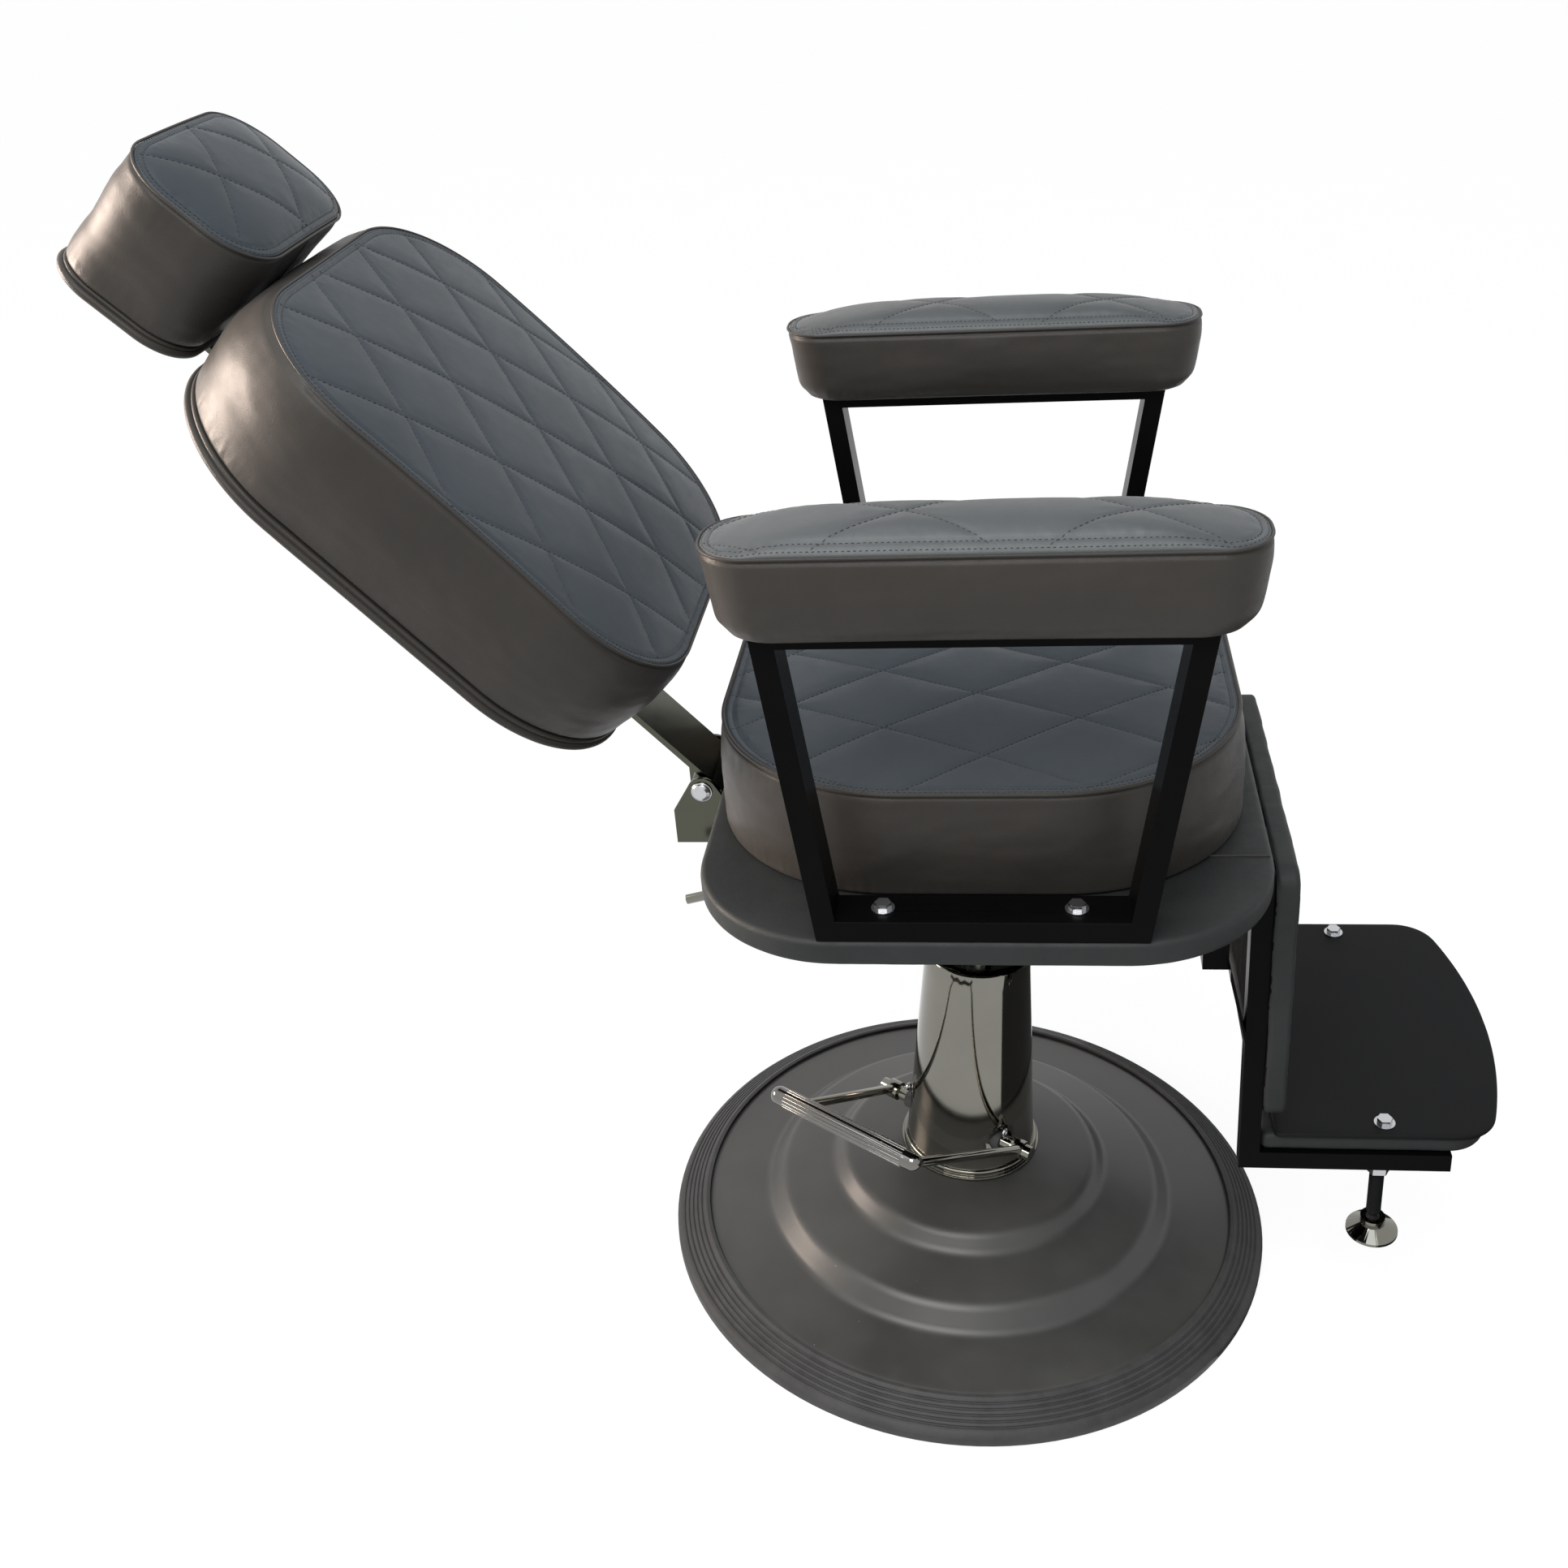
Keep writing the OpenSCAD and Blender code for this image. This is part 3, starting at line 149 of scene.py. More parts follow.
def vinyl(name, dark, light, rough_low, rough_high, grain=1.0, sheen=0.0, specular=0.4):
    """Grained vinyl: pebbled cells with fine creases, and slow changes of colour and gloss."""
    material, tree, shader = new_material(name)
    where = place(tree)
    cells = node(tree, "ShaderNodeTexVoronoi", Scale=GRAIN_CELLS)
    cells.feature = "DISTANCE_TO_EDGE"
    warp = node(tree, "ShaderNodeMixRGB", Fac=0.0025)
    warp.blend_type = "ADD"
    warp_noise = node(tree, "ShaderNodeTexNoise", Scale=260, Detail=2)
    tree.links.new(where, warp_noise.inputs["Vector"])
    tree.links.new(where, warp.inputs["Color1"])
    tree.links.new(warp_noise.outputs["Color"], warp.inputs["Color2"])
    tree.links.new(warp.outputs["Color"], cells.inputs["Vector"])
    pebble = ramp(tree, cells.outputs["Distance"], [(0.0, grey(0.0)), (0.32, grey(1.0))])
    slow = noise_at(tree, where, 7, 4, 0.6)
    mid = noise_at(tree, where, 60, 5, 0.65)
    tree.links.new(ramp(tree, slow, [(0.3, dark), (0.7, light)]), shader.inputs["Base Color"])
    low, high = grey(rough_low), grey(rough_high)
    tree.links.new(ramp(tree, mid, [(0.3, low), (0.7, high)]), shader.inputs["Roughness"])
    shader.inputs["Specular IOR Level"].default_value = specular
    shader.inputs["Sheen Weight"].default_value = sheen
    bump_chain(tree, shader, [(mid, 0.12 * grain, 0.0012), (pebble, 0.32 * grain, 0.00016)])
    return material


def paint(name, base, rough, speckle=0.0, bump=0.05, specular=0.5):
    """Sprayed paint: orange peel, rubbed gloss and, where asked, dust specks."""
    material, tree, shader = new_material(name)
    where = place(tree)
    slow = noise_at(tree, where, 9, 4, 0.6)
    peel = noise_at(tree, where, PEEL_CELLS, 2, 0.5)
    low = tuple(c * 0.85 for c in base)
    high = tuple(c * 1.25 for c in base)
    colour = ramp(tree, slow, [(0.3, low), (0.7, high)])
    if speckle:
        specks = node(tree, "ShaderNodeTexVoronoi", Scale=34)
        tree.links.new(where, specks.inputs["Vector"])
        dots = ramp(tree, specks.outputs["Distance"], [(0.0, grey(1.0)), (0.028, grey(0.0))])
        mix = node(tree, "ShaderNodeMixRGB")
        mix.inputs["Color2"].default_value = (*grey(speckle), 1)
        tree.links.new(dots, mix.inputs["Fac"])
        tree.links.new(colour, mix.inputs["Color1"])
        colour = mix.outputs["Color"]
    tree.links.new(colour, shader.inputs["Base Color"])
    rubbed = ramp(tree, slow, [(0.25, grey(rough * 0.88)), (0.75, grey(min(1, rough * 1.15)))])
    tree.links.new(rubbed, shader.inputs["Roughness"])
    shader.inputs["Specular IOR Level"].default_value = specular
    bump_chain(tree, shader, [(peel, bump, 0.0004)])
    return material


def metal(name, base, rough, streak=(1, 1, 1), scratch=0.0):
    """Metal with smudges, and with streaks along one way where it is brushed."""
    material, tree, shader = new_material(name)
    where = place(tree)
    mapping = tree.nodes.new("ShaderNodeMapping")
    mapping.inputs["Scale"].default_value = streak
    tree.links.new(where, mapping.inputs["Vector"])
    lines = noise_at(tree, mapping.outputs["Vector"], 90, 6, 0.7)
    patches = noise_at(tree, where, 14, 4, 0.6)
    low = tuple(c * 0.9 for c in base)
    tree.links.new(ramp(tree, patches, [(0.3, low), (0.7, base)]), shader.inputs["Base Color"])
    shader.inputs["Metallic"].default_value = 1
    smudge = 0.25
    dull = min(1, rough * (1 + smudge) + 0.03)
    gloss = ramp(tree, patches, [(0.35, grey(rough)), (0.8, grey(dull))])
    tree.links.new(gloss, shader.inputs["Roughness"])
    bump_chain(tree, shader, [(lines, 0.04 + scratch, 0.0003)])
    return material


def rubber_material():
    """Matt rubber with dust in its pores."""
    material, tree, shader = new_material("rubber_matt")
    where = place(tree)
    dust = noise_at(tree, where, 25, 6, 0.7)
    fine = noise_at(tree, where, 700, 2, 0.6)
    colour = ramp(tree, dust, [(0.35, grey(0.042)), (0.8, grey(0.074))])
    tree.links.new(colour, shader.inputs["Base Color"])
    rough = ramp(tree, dust, [(0.3, grey(0.42)), (0.8, grey(0.62))])
    tree.links.new(rough, shader.inputs["Roughness"])
    shader.inputs["Specular IOR Level"].default_value = 0.2
    bump_chain(tree, shader, [(fine, 0.2, 0.0002)])
    return material


# Painted light: the quilted face's base colour is tinted cool, as the cool top light and its
# reflection would tint it
FACE = vinyl("vinyl_quilted_painted_cool", (0.023, 0.031, 0.038), (0.028, 0.037, 0.046), 0.40, 0.48,
             sheen=0.04, specular=0.3)
# Painted light: the armrest pads get a lighter, glossier copy of the quilted vinyl, standing in
# for the stronger light on them
PAD_PAINTED_LIGHT = vinyl("vinyl_pad_painted_light", (0.044, 0.050, 0.053), (0.052, 0.059, 0.063), 0.42, 0.5,
            sheen=0.04, specular=0.45)
# Painted light: the side band is the same black vinyl, tinted warm as the warm side light would
# tint it
BAND = vinyl("vinyl_band_painted_warm", (0.031, 0.028, 0.025), (0.039, 0.035, 0.031), 0.37, 0.46,
             grain=1.2, sheen=0.04, specular=0.18)
PANEL = vinyl("vinyl_panel", (0.014, 0.016, 0.016), (0.021, 0.024, 0.024), 0.48, 0.6,
              grain=1.5, specular=0.25)
THREAD = vinyl("thread", (0.018, 0.020, 0.022), (0.035, 0.038, 0.040), 0.55, 0.7, grain=0.3)
GLOSS = paint("paint_gloss", (0.0022, 0.0022, 0.0024), 0.28, specular=0.04)
SATIN = paint("paint_satin", (0.048, 0.048, 0.046), 0.38, speckle=0.35, bump=0.09)
# Painted shade: a near-black matt vinyl for the calf board's rear face, so that the rear reads as
# in shade
UNDERSIDE_SHADE = vinyl("underside_painted_shade", grey(0.003), grey(0.006), 0.8, 0.95, specular=0.05)
MATT = paint("paint_matt", (0.007, 0.0075, 0.0078), 0.5, bump=0.12, specular=0.08)
# The bright metals are darker than real plate: the photo's room is darker than this white ground
CHROME = metal("chrome_plate", (0.21, 0.205, 0.18), 0.06)
SMOKED = metal("chrome_smoked", (0.20, 0.195, 0.185), 0.12)
STEEL = metal("steel_polished", (0.09, 0.092, 0.072), 0.12, streak=(1, 30, 1), scratch=0.03)
RAM = metal("chrome_ram", (0.6, 0.62, 0.61), 0.04)
ZINC = metal("zinc_plate", (0.55, 0.56, 0.58), 0.2, scratch=0.05)
CASTING = paint("casting_grey", (0.03, 0.031, 0.033), 0.5, bump=0.3)
BRASS = metal("brass_turned", (0.62, 0.48, 0.22), 0.2)
RUBBER = rubber_material()

FINISHES = {
    "black_paint": GLOSS, "matt_black": MATT, "rubber": RUBBER, "chrome": CHROME,
    "dark_chrome": SMOKED, "stainless": STEEL, "zinc": ZINC, "casting": CASTING,
    "brass": BRASS, "vinyl": PANEL,
}
OWN_FINISH = {"base_dome": SATIN, "base_plate": SATIN, "ram": RAM}


def dress_nodes():
    """Gives every CAD node the material of its slot, or its own."""
    slots = {s["node"]: s["material_slot"] for s in frame["record"]["subparts"]}
    for name, piece in NODES.items():
        material = OWN_FINISH.get(name, FINISHES[slots[name]])
        piece.data.materials.clear()
        piece.data.materials.append(material)


def soften_edges(left_out, width):
    """A small bevel on the sharp edges of every CAD node but those left out."""
    for name, piece in NODES.items():
        if name in left_out:
            continue
        weld = piece.modifiers.new("weld", "WELD")
        weld.merge_threshold = 1e-5
        bevel = piece.modifiers.new("bevel", "BEVEL")
        bevel.width = width
        bevel.segments = 2
        bevel.limit_method = "ANGLE"
        bevel.angle_limit = math.radians(40)
        bevel.harden_normals = True


# Upholstery

def round_edge(qx, qy, half_x, half_y, corner):
    """A point of the unit square's edge, moved to a rectangle with round corners."""
    ax, ay = abs(qx) * half_x, abs(qy) * half_y
    dx, dy = ax - half_x + corner, ay - half_y + corner
    if dx > 0 and dy > 0:
        pull = corner / math.hypot(dx, dy)
        ax, ay = half_x - corner + dx * pull, half_y - corner + dy * pull
    return math.copysign(ax, qx), math.copysign(ay, qy)


def outline(half_x, half_y, corner, mid_x, step):
    """Points round a rectangle with round corners, evenly spaced, counter-clockwise."""
    raw = []
    straight_x, straight_y = half_x - corner, half_y - corner
    for cx, cy, start in ((straight_x, straight_y, 0), (-straight_x, straight_y, 90),
                          (-straight_x, -straight_y, 180), (straight_x, -straight_y, 270)):
        for k in range(25):
            a = math.radians(start + 90 * k / 24)
            raw.append((mid_x + cx + corner * math.cos(a), cy + corner * math.sin(a)))
    return resample(raw + [raw[0]], step)[:-1]


def resample(points, step):
    """The same chain of points with even spacing near step."""
    lengths = [0.0]
    for a, b in zip(points, points[1:]):
        lengths.append(lengths[-1] + math.dist(a, b))
    count = max(2, round(lengths[-1] / step))
    made, k = [], 0
    for i in range(count + 1):
        want = lengths[-1] * i / count
        while k < len(lengths) - 2 and lengths[k + 1] < want:
            k += 1
        span = lengths[k + 1] - lengths[k] or 1
        t = (want - lengths[k]) / span
        made.append(tuple(a + (b - a) * t for a, b in zip(points[k], points[k + 1])))
    return made


def quilt_phase(x, y, quilt):
    """The two counts of stitch lines at a place: a line runs wherever one of them is whole."""
    turn = math.radians(quilt.turn)
    dx, dy = x - quilt.cross_x, y - quilt.cross_y
    u = dx * math.cos(turn) + dy * math.sin(turn)
    v = dy * math.cos(turn) - dx * math.sin(turn)
    return u / quilt.pitch_x + v / quilt.pitch_y, u / quilt.pitch_x - v / quilt.pitch_y


def line_distance(x, y, quilt):
    """Distance in mm from the nearest stitch line, and the place along it."""
    a, b = quilt_phase(x, y, quilt)
    slope = math.hypot(1 / quilt.pitch_x, 1 / quilt.pitch_y)
    da, db = abs(a - round(a)) / slope, abs(b - round(b)) / slope
    return (da, b / slope) if da < db else (db, a / slope)


def smooth(t):
    """A step from 0 to 1 with soft ends."""
    t = min(1, max(0, t))
    return t * t * (3 - 2 * t)


def bell(far, width):
    """1 in the middle, falling off over the width."""
    return math.exp(-(far / width) ** 2)


def ripple(x, y, z):
    return noise.noise(Vector((x, y, z)))


def side_swell(x, y, z, under):
    """How far a side band swells: slow waves, creases, and gathers at both of its rims."""
    wave = ripple(x / 70, y / 70, z / 34) * 1.5
    crease = ripple(x / 26, y / 26, z / 12 + 7) * 0.4
    gather = ripple(x / 8, y / 8, z / 60) * math.exp(-under / 12) * 0.9
    gather += ripple(x / 6, y / 6, z / 50 + 4) * math.exp(-z / 9) * 1.1
    return wave + crease + gather


def in_mm(spot):
    return (c / MM for c in spot)


class Cushion:
    """A stuffed cushion: a crowned face, a seam that dips, a rolled side band and a flat bottom.

    Its sizes are in mm, in its own frame. The face has the plan top and the bottom the plan low.
    cells and rings are the face's and the side band's mesh, cap is the cloth's largest move,
    piping the cord's radius, and joins the ends (1 front, -1 rear) with an upright join.
    """

    STITCH_HOLD = 0.9
    STITCH_REACH = 9
    SIDE_HELD = 0.93
    FRAMES = 20
    TUCK_START = 0.72
    SEAM_ROWS = (3.2, 8.6)
    SEAM_ROW_PITCH = 2.3
    JOIN_STEPS = 24

    def __init__(self, name, spot, body, nodes, *, top, low, seam, crown, bulge, quilt, cells,
                 rings, cap=3, piping=1.3, tuck=0, face=FACE, joins=(-1,)):
        self.name, self.spot, self.body, self.nodes = name, spot, body, nodes
        self.top, self.low, self.crown, self.bulge = top, low, crown, bulge
        self.seam, self.dip_x, self.dip_y = seam
        self.quilt, self.cells, self.rings = quilt, cells, rings
        self.cap, self.piping, self.tuck, self.face = cap, piping, tuck, face
        self.joins = joins

    def seam_height(self, x, y):
        return (self.seam - self.dip_x * ((x - self.top.mid_x) / self.top.half_x) ** 2
                - self.dip_y * (y / self.top.half_y) ** 2)

    def build(self):
        """The closed mesh before stuffing; self.kind says where each vertex lies."""
        nx, ny = self.cells
        mesh = bmesh.new()
        top, low = self.top, self.low
        grid = {}
        self.kind = []
        for j in range(ny + 1):
            for i in range(nx + 1):
                a, b = 2 * i / nx - 1, 2 * j / ny - 1
                rho = max(abs(a), abs(b))
                x, y = round_edge(a / rho, b / rho, *top[:3]) if rho else (0, 0)
                x, y = x * rho + top.mid_x, y * rho
                height = self.seam_height(x, y) + self.crown * (1 - rho ** 3.2)
                grid[i, j] = mesh.verts.new((x, y, height))
                self.kind.append(("face", rho))
        edge = ([(i, 0) for i in range(nx)] + [(nx, j) for j in range(ny)]
                + [(i, ny) for i in range(nx, 0, -1)] + [(0, j) for j in range(ny, 0, -1)])
        upper = [grid[e] for e in edge]
        seam_ring = [v.co.copy() for v in upper]
        for j in range(ny):
            for i in range(nx):
                mesh.faces.new((grid[i, j], grid[i + 1, j], grid[i + 1, j + 1], grid[i, j + 1]))
        for k in range(1, self.rings + 1):
            t = k / self.rings
            roll = math.sin(math.pi * t ** 0.72)
            tuck = self.tuck * smooth((t - self.TUCK_START) / 0.28) ** 2
            lower = []
            for (i, j), above in zip(edge, seam_ring):
                x, y = round_edge(2 * i / nx - 1, 2 * j / ny - 1, *low[:3])
                out = Vector((x / low.half_x, y / low.half_y, 0)).normalized()
                rear = max(0, -out.x) ** 2
                sides = self.bulge.sides
                swell = (sides + (self.bulge.rear - sides) * rear) * roll - tuck
                p = above.lerp(Vector((x + low.mid_x, y, 0)), t) + out * swell
                lower.append(mesh.verts.new(p))
                self.kind.append(("side", t))
            for p in range(len(edge)):
                q = (p + 1) % len(edge)
                mesh.faces.new((upper[q], upper[p], lower[p], lower[q]))
            upper = lower
        for share in (0.9, 0.6, 0.3):
            inner = []
            for v in lower:
                x = (v.co.x - low.mid_x) * share + low.mid_x
                inner.append(mesh.verts.new((x, v.co.y * share, 0)))
                self.kind.append(("bottom", share))
            for p in range(len(edge)):
                q = (p + 1) % len(edge)
                mesh.faces.new((upper[q], upper[p], inner[p], inner[q]))
            upper = inner
        for v in mesh.verts:
            v.co *= MM
        data = bpy.data.meshes.new(self.name)
        mesh.to_mesh(data)
        mesh.free()
        piece = bpy.data.objects.new(self.name, data)
        scene.collection.objects.link(piece)
        return piece

    def stuff(self, piece):
        """Blows the cover up as cloth, held at the seam, the bottom and the stitch lines."""
        held = piece.vertex_groups.new(name="held")
        for index, (kind, t) in enumerate(self.kind):
            x, y, _ = in_mm(piece.data.vertices[index].co)
            at_rim = (kind == "side" and t > self.SIDE_HELD) or (kind == "face" and t == 1)
            if kind == "bottom" or at_rim:
                weight = 1.0
            elif kind == "face":
                far, _ = line_distance(x, y, self.quilt)
                weight = self.STITCH_HOLD * (1 - smooth(far / self.STITCH_REACH))
            else:
                weight = 0.0
            held.add([index], weight, "REPLACE")
        before = [v.co.copy() for v in piece.data.vertices]
        cloth = piece.modifiers.new("cloth", "CLOTH")
        settings = cloth.settings
        settings.quality = 3
        settings.mass = 0.4
        settings.tension_stiffness = settings.compression_stiffness = 25
        settings.bending_stiffness = 2
        settings.use_pressure = True
        settings.uniform_pressure_force = 4
        settings.vertex_group_mass = "held"
        settings.effector_weights.gravity = 0
        cloth.collision_settings.use_collision = False
        for number in range(1, self.FRAMES + 1):
            scene.frame_set(number)
        graph = bpy.context.evaluated_depsgraph_get()
        blown = [v.co.copy() for v in piece.evaluated_get(graph).data.vertices]
        piece.modifiers.remove(cloth)
        scene.frame_set(1)
        for v, old, new in zip(piece.data.vertices, before, blown):
            move = new - old
            if move.length > self.cap * MM:
                move *= self.cap * MM / move.length
            v.co = old + move
        piece.vertex_groups.clear()

    def subdivide(self, piece):
        """One subdivision as the piece's own mesh, closed."""
        divide = piece.modifiers.new("divide", "SUBSURF")
        divide.levels = divide.render_levels = 1
        graph = bpy.context.evaluated_depsgraph_get()
        fine = bpy.data.meshes.new_from_object(piece.evaluated_get(graph))
        piece.modifiers.clear()
        old, piece.data = piece.data, fine
        bpy.data.meshes.remove(old)
        closed = bmesh.new()
        closed.from_mesh(fine)
        bmesh.ops.holes_fill(closed, edges=closed.edges, sides=0)
        closed.to_mesh(fine)
        closed.free()

    def sew(self, shift, x, y, inset):
        """Adds the quilted face's channels and puckers and the seam's flat strip to the shift."""
        far, along = line_distance(x, y, self.quilt)
        pucker = ripple(along / 11, far / 9, self.seam)
        channel = bell(far, 2.2) * 1.1 + bell(far, 11) * 0.9
        channel += 0.3 * pucker * bell(far, 10)
        shift.z -= channel * smooth((inset - 5) / 16)
        pull = ripple(x / 7, y / 7, 3) * bell(inset - 12, 7)
        shift.z -= 1.5 * bell(inset - self.SEAM_ROWS[1], 1.7) + 0.35 * pull
        shift.z += 0.5 * smooth((inset - 0.5) / 1.5) * smooth((8 - inset) / 2)

    def refine(self, piece):
        """The sewn channels, the seam's flat strip and fold, and the vinyl's waves and gathers."""
        self.subdivide(piece)
        fine = piece.data
        normals = [v.normal.copy() for v in fine.vertices]
        places = [v.co.copy() for v in fine.vertices]
        for spot, normal in zip(places, normals):
            x, y, z = in_mm(spot)
            inset = self.seam_distance(x, y)
            seam = self.seam_height(x, y)
            under = seam - z
            shift = Vector((0, 0, 0))
            if normal.z > 0.25 and z > seam - 3:
                self.sew(shift, x, y, inset)
            if inset < 6 and normal.z < 0.6:
                shift -= normal * 2.2 * bell(under - 2.6, 1.7)
            if under > 4 and z > 2 and abs(normal.z) < 0.9:
                swell = side_swell(x, y, z, under)
                shift += normal * swell * smooth((under - 4) / 14) * smooth(z / 8)
            spot += shift * MM
        fine.vertices.foreach_set("co", [c for p in places for c in p])
        fine.update()
        for polygon in fine.polygons:
            polygon.use_smooth = True
            centre = polygon.center / MM
            on_top = centre.z > self.seam_height(centre.x, centre.y) - 3
            inside = self.seam_distance(centre.x, centre.y) > -0.5
            polygon.material_index = 0 if polygon.normal.z > 0.2 and inside and on_top else 1

    def seam_distance(self, x, y):
        """How far inside the seam a place is, in mm, seen from above."""
        half_x, half_y, corner, mid = self.top
        dx, dy = abs(x - mid) - half_x + corner, abs(y) - half_y + corner
        if dx > 0 and dy > 0:
            return corner - math.hypot(dx, dy)
        return corner - max(dx, dy)

    def side_joins(self, tree):
        """The upright joins in the middle of the side band's ends, from seam to board."""
        joins = []
        for way in self.joins:
            # The ray starts 1 m out and runs back to the cushion
            start = Vector((way, 4 * MM, 0))
            path = []
            for k in range(self.JOIN_STEPS + 1):
                start.z = (self.seam - 8 - (self.seam - 12) * k / self.JOIN_STEPS) * MM
                hit = tree.ray_cast(start, Vector((-way, 0, 0)))
                if hit[0] is not None:
                    path.append(hit[0])
            joins.append(path)
        return joins

    def make(self):
        """The cover with its piping, its side joins and its stitches."""
        piece = self.build()
        self.stuff(piece)
        piece.data.materials.append(self.face)
        piece.data.materials.append(BAND)
        self.refine(piece)
        tree = BVHTree.FromPolygons([v.co for v in piece.data.vertices],
                                    [p.vertices for p in piece.data.polygons])
        joins = self.side_joins(tree)
        finish_piece(piece, self.spot, self.body)
        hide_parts(*self.nodes)
        for number, path in enumerate(joins):
            join = tube(f"{self.name}_join_{number}", path, 0.7 * MM, sides=6)
            finish_piece(join, self.spot, self.body, BAND)
        half_x, half_y, corner, mid = self.top
        loop = [(x * MM, y * MM, self.seam_height(x, y) * MM)
                for x, y in outline(half_x + 0.3, half_y + 0.3, corner, mid, 6)]
        cord = tube(self.name + "_piping", loop, self.piping * MM, closed=True)
        finish_piece(cord, self.spot, self.body, BAND)
        dashes = Stitches(self.name + "_stitches", tree)
        for inset in self.SEAM_ROWS:
            dashes.loop(outline(half_x - inset, half_y - inset, corner - inset, mid,
                                self.SEAM_ROW_PITCH))
        dashes.quilt(self)
        finish_piece(dashes.make(), self.spot, self.body, THREAD)


def finish_piece(piece, spot, body, material=None):
    """Sets the piece at its spot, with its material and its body."""
    piece.data.transform(spot)
    if material is not None:
        piece.data.materials.append(material)
    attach(piece, body)


def mesh_piece(name, points, faces, smooth_all=True):
    data = bpy.data.meshes.new(name)
    data.from_pydata([tuple(p) for p in points], [], faces)
    data.validate()
    data.update()
    if smooth_all:
        for polygon in data.polygons:
            polygon.use_smooth = True
    piece = bpy.data.objects.new(name, data)
    scene.collection.objects.link(piece)
    return piece


def tube(name, path, radius, closed=False, sides=10):
    """A round tube along a chain of points."""
    points, faces = [], []
    count = len(path)
    path = [Vector(p) for p in path]
    guide = None
    for k, p in enumerate(path):
        ahead = path[(k + 1) % count] if closed or k < count - 1 else p
        behind = path[k - 1] if closed or k else p
        along = (ahead - behind).normalized()
        if guide is None:
            guide = along.orthogonal().normalized()
        guide = (guide - along * guide.dot(along)).normalized()
        side = along.cross(guide)
        for s in range(sides):
            a = 2 * math.pi * s / sides
            points.append(p + radius * (math.cos(a) * guide + math.sin(a) * side))
    for k in range(count if closed else count - 1):
        m = (k + 1) % count
        for s in range(sides):
            q = (s + 1) % sides
            faces.append((k * sides + s, k * sides + q, m * sides + q, m * sides + s))
    if not closed:
        faces.append(tuple(reversed(range(sides))))
        faces.append(tuple((count - 1) * sides + s for s in range(sides)))
    return mesh_piece(name, points, faces)


class Stitches:
    """Short threads laid on a surface, seen from above in the cushion's own frame."""

    RADIUS = 0.42 * MM
    SIDES = 6
    PITCH = 2.6
    LONGEST = 6 * MM

    def __init__(self, name, tree):
        self.name, self.tree = name, tree
        self.points, self.faces = [], []

    def drop(self, x, y):
        """The surface's place and normal under (x, y), or two Nones."""
        hit = self.tree.ray_cast(Vector((x * MM, y * MM, 1)), Vector((0, 0, -1)))
        return hit[0], hit[1]

    def dash(self, a, b, normal):
        """One stitch from a to b, thinner at its ends."""
        along = (b - a).normalized()
        side = along.cross(normal).normalized()
        start = len(self.points)
        taper = along * self.RADIUS * 2
        sides = self.SIDES
        for p, size in ((a, 0.5), (a + taper, 1.0), (b - taper, 1.0), (b, 0.5)):
            for s in range(sides):
                t = math.pi * s / 3
                off = math.cos(t) * side + math.sin(t) * normal
                self.points.append(p + off * self.RADIUS * size)
        for ring in range(3):
            for s in range(sides):
                q = (s + 1) % sides
                k = start + ring * sides
                self.faces.append((k + s, k + sides + s, k + sides + q, k + q))
        self.faces.append(tuple(start + s for s in range(sides)))
        self.faces.append(tuple(start + 3 * sides + s for s in reversed(range(sides))))

    def chain(self, points):
        """Every second span of the chain becomes a stitch."""
        for k in range(0, len(points) - 1, 2):
            a, normal = self.drop(*points[k])
            b, _ = self.drop(*points[k + 1])
            if a is None or b is None or normal.z < 0.2 or (b - a).length > self.LONGEST:
                continue
            lift = normal * self.RADIUS * 0.35
            self.dash(a + lift, b + lift, normal)

    def loop(self, points):
        self.chain(points + [points[0]])

    def quilt(self, cushion):
        """Both families of the cushion's crossing stitch lines, where they lie inside its seam."""
        pitch_x, pitch_y, cross_x, cross_y, turn_deg = cushion.quilt
        turn = math.radians(turn_deg)
        reach = max(cushion.top.half_x, cushion.top.half_y) * 1.6
        steps = int(2 * reach / self.PITCH)
        for family in (1, -1):
            way = Vector((pitch_x, -family * pitch_y)).normalized()
            spacing = 1 / math.hypot(1 / pitch_x, 1 / pitch_y)
            across = Vector((1 / pitch_x, family / pitch_y)).normalized()
            for number in range(-14, 15):
                points = []
                for k in range(steps):
                    p = across * spacing * number + way * (k * self.PITCH - reach)
                    x = cross_x + p.x * math.cos(turn) - p.y * math.sin(turn)
                    y = cross_y + p.x * math.sin(turn) + p.y * math.cos(turn)
                    if cushion.seam_distance(x, y) > 4:
                        points.append((x, y))
                if len(points) > 3:
                    self.chain(points)

    def make(self):
        return mesh_piece(self.name, self.points, self.faces)


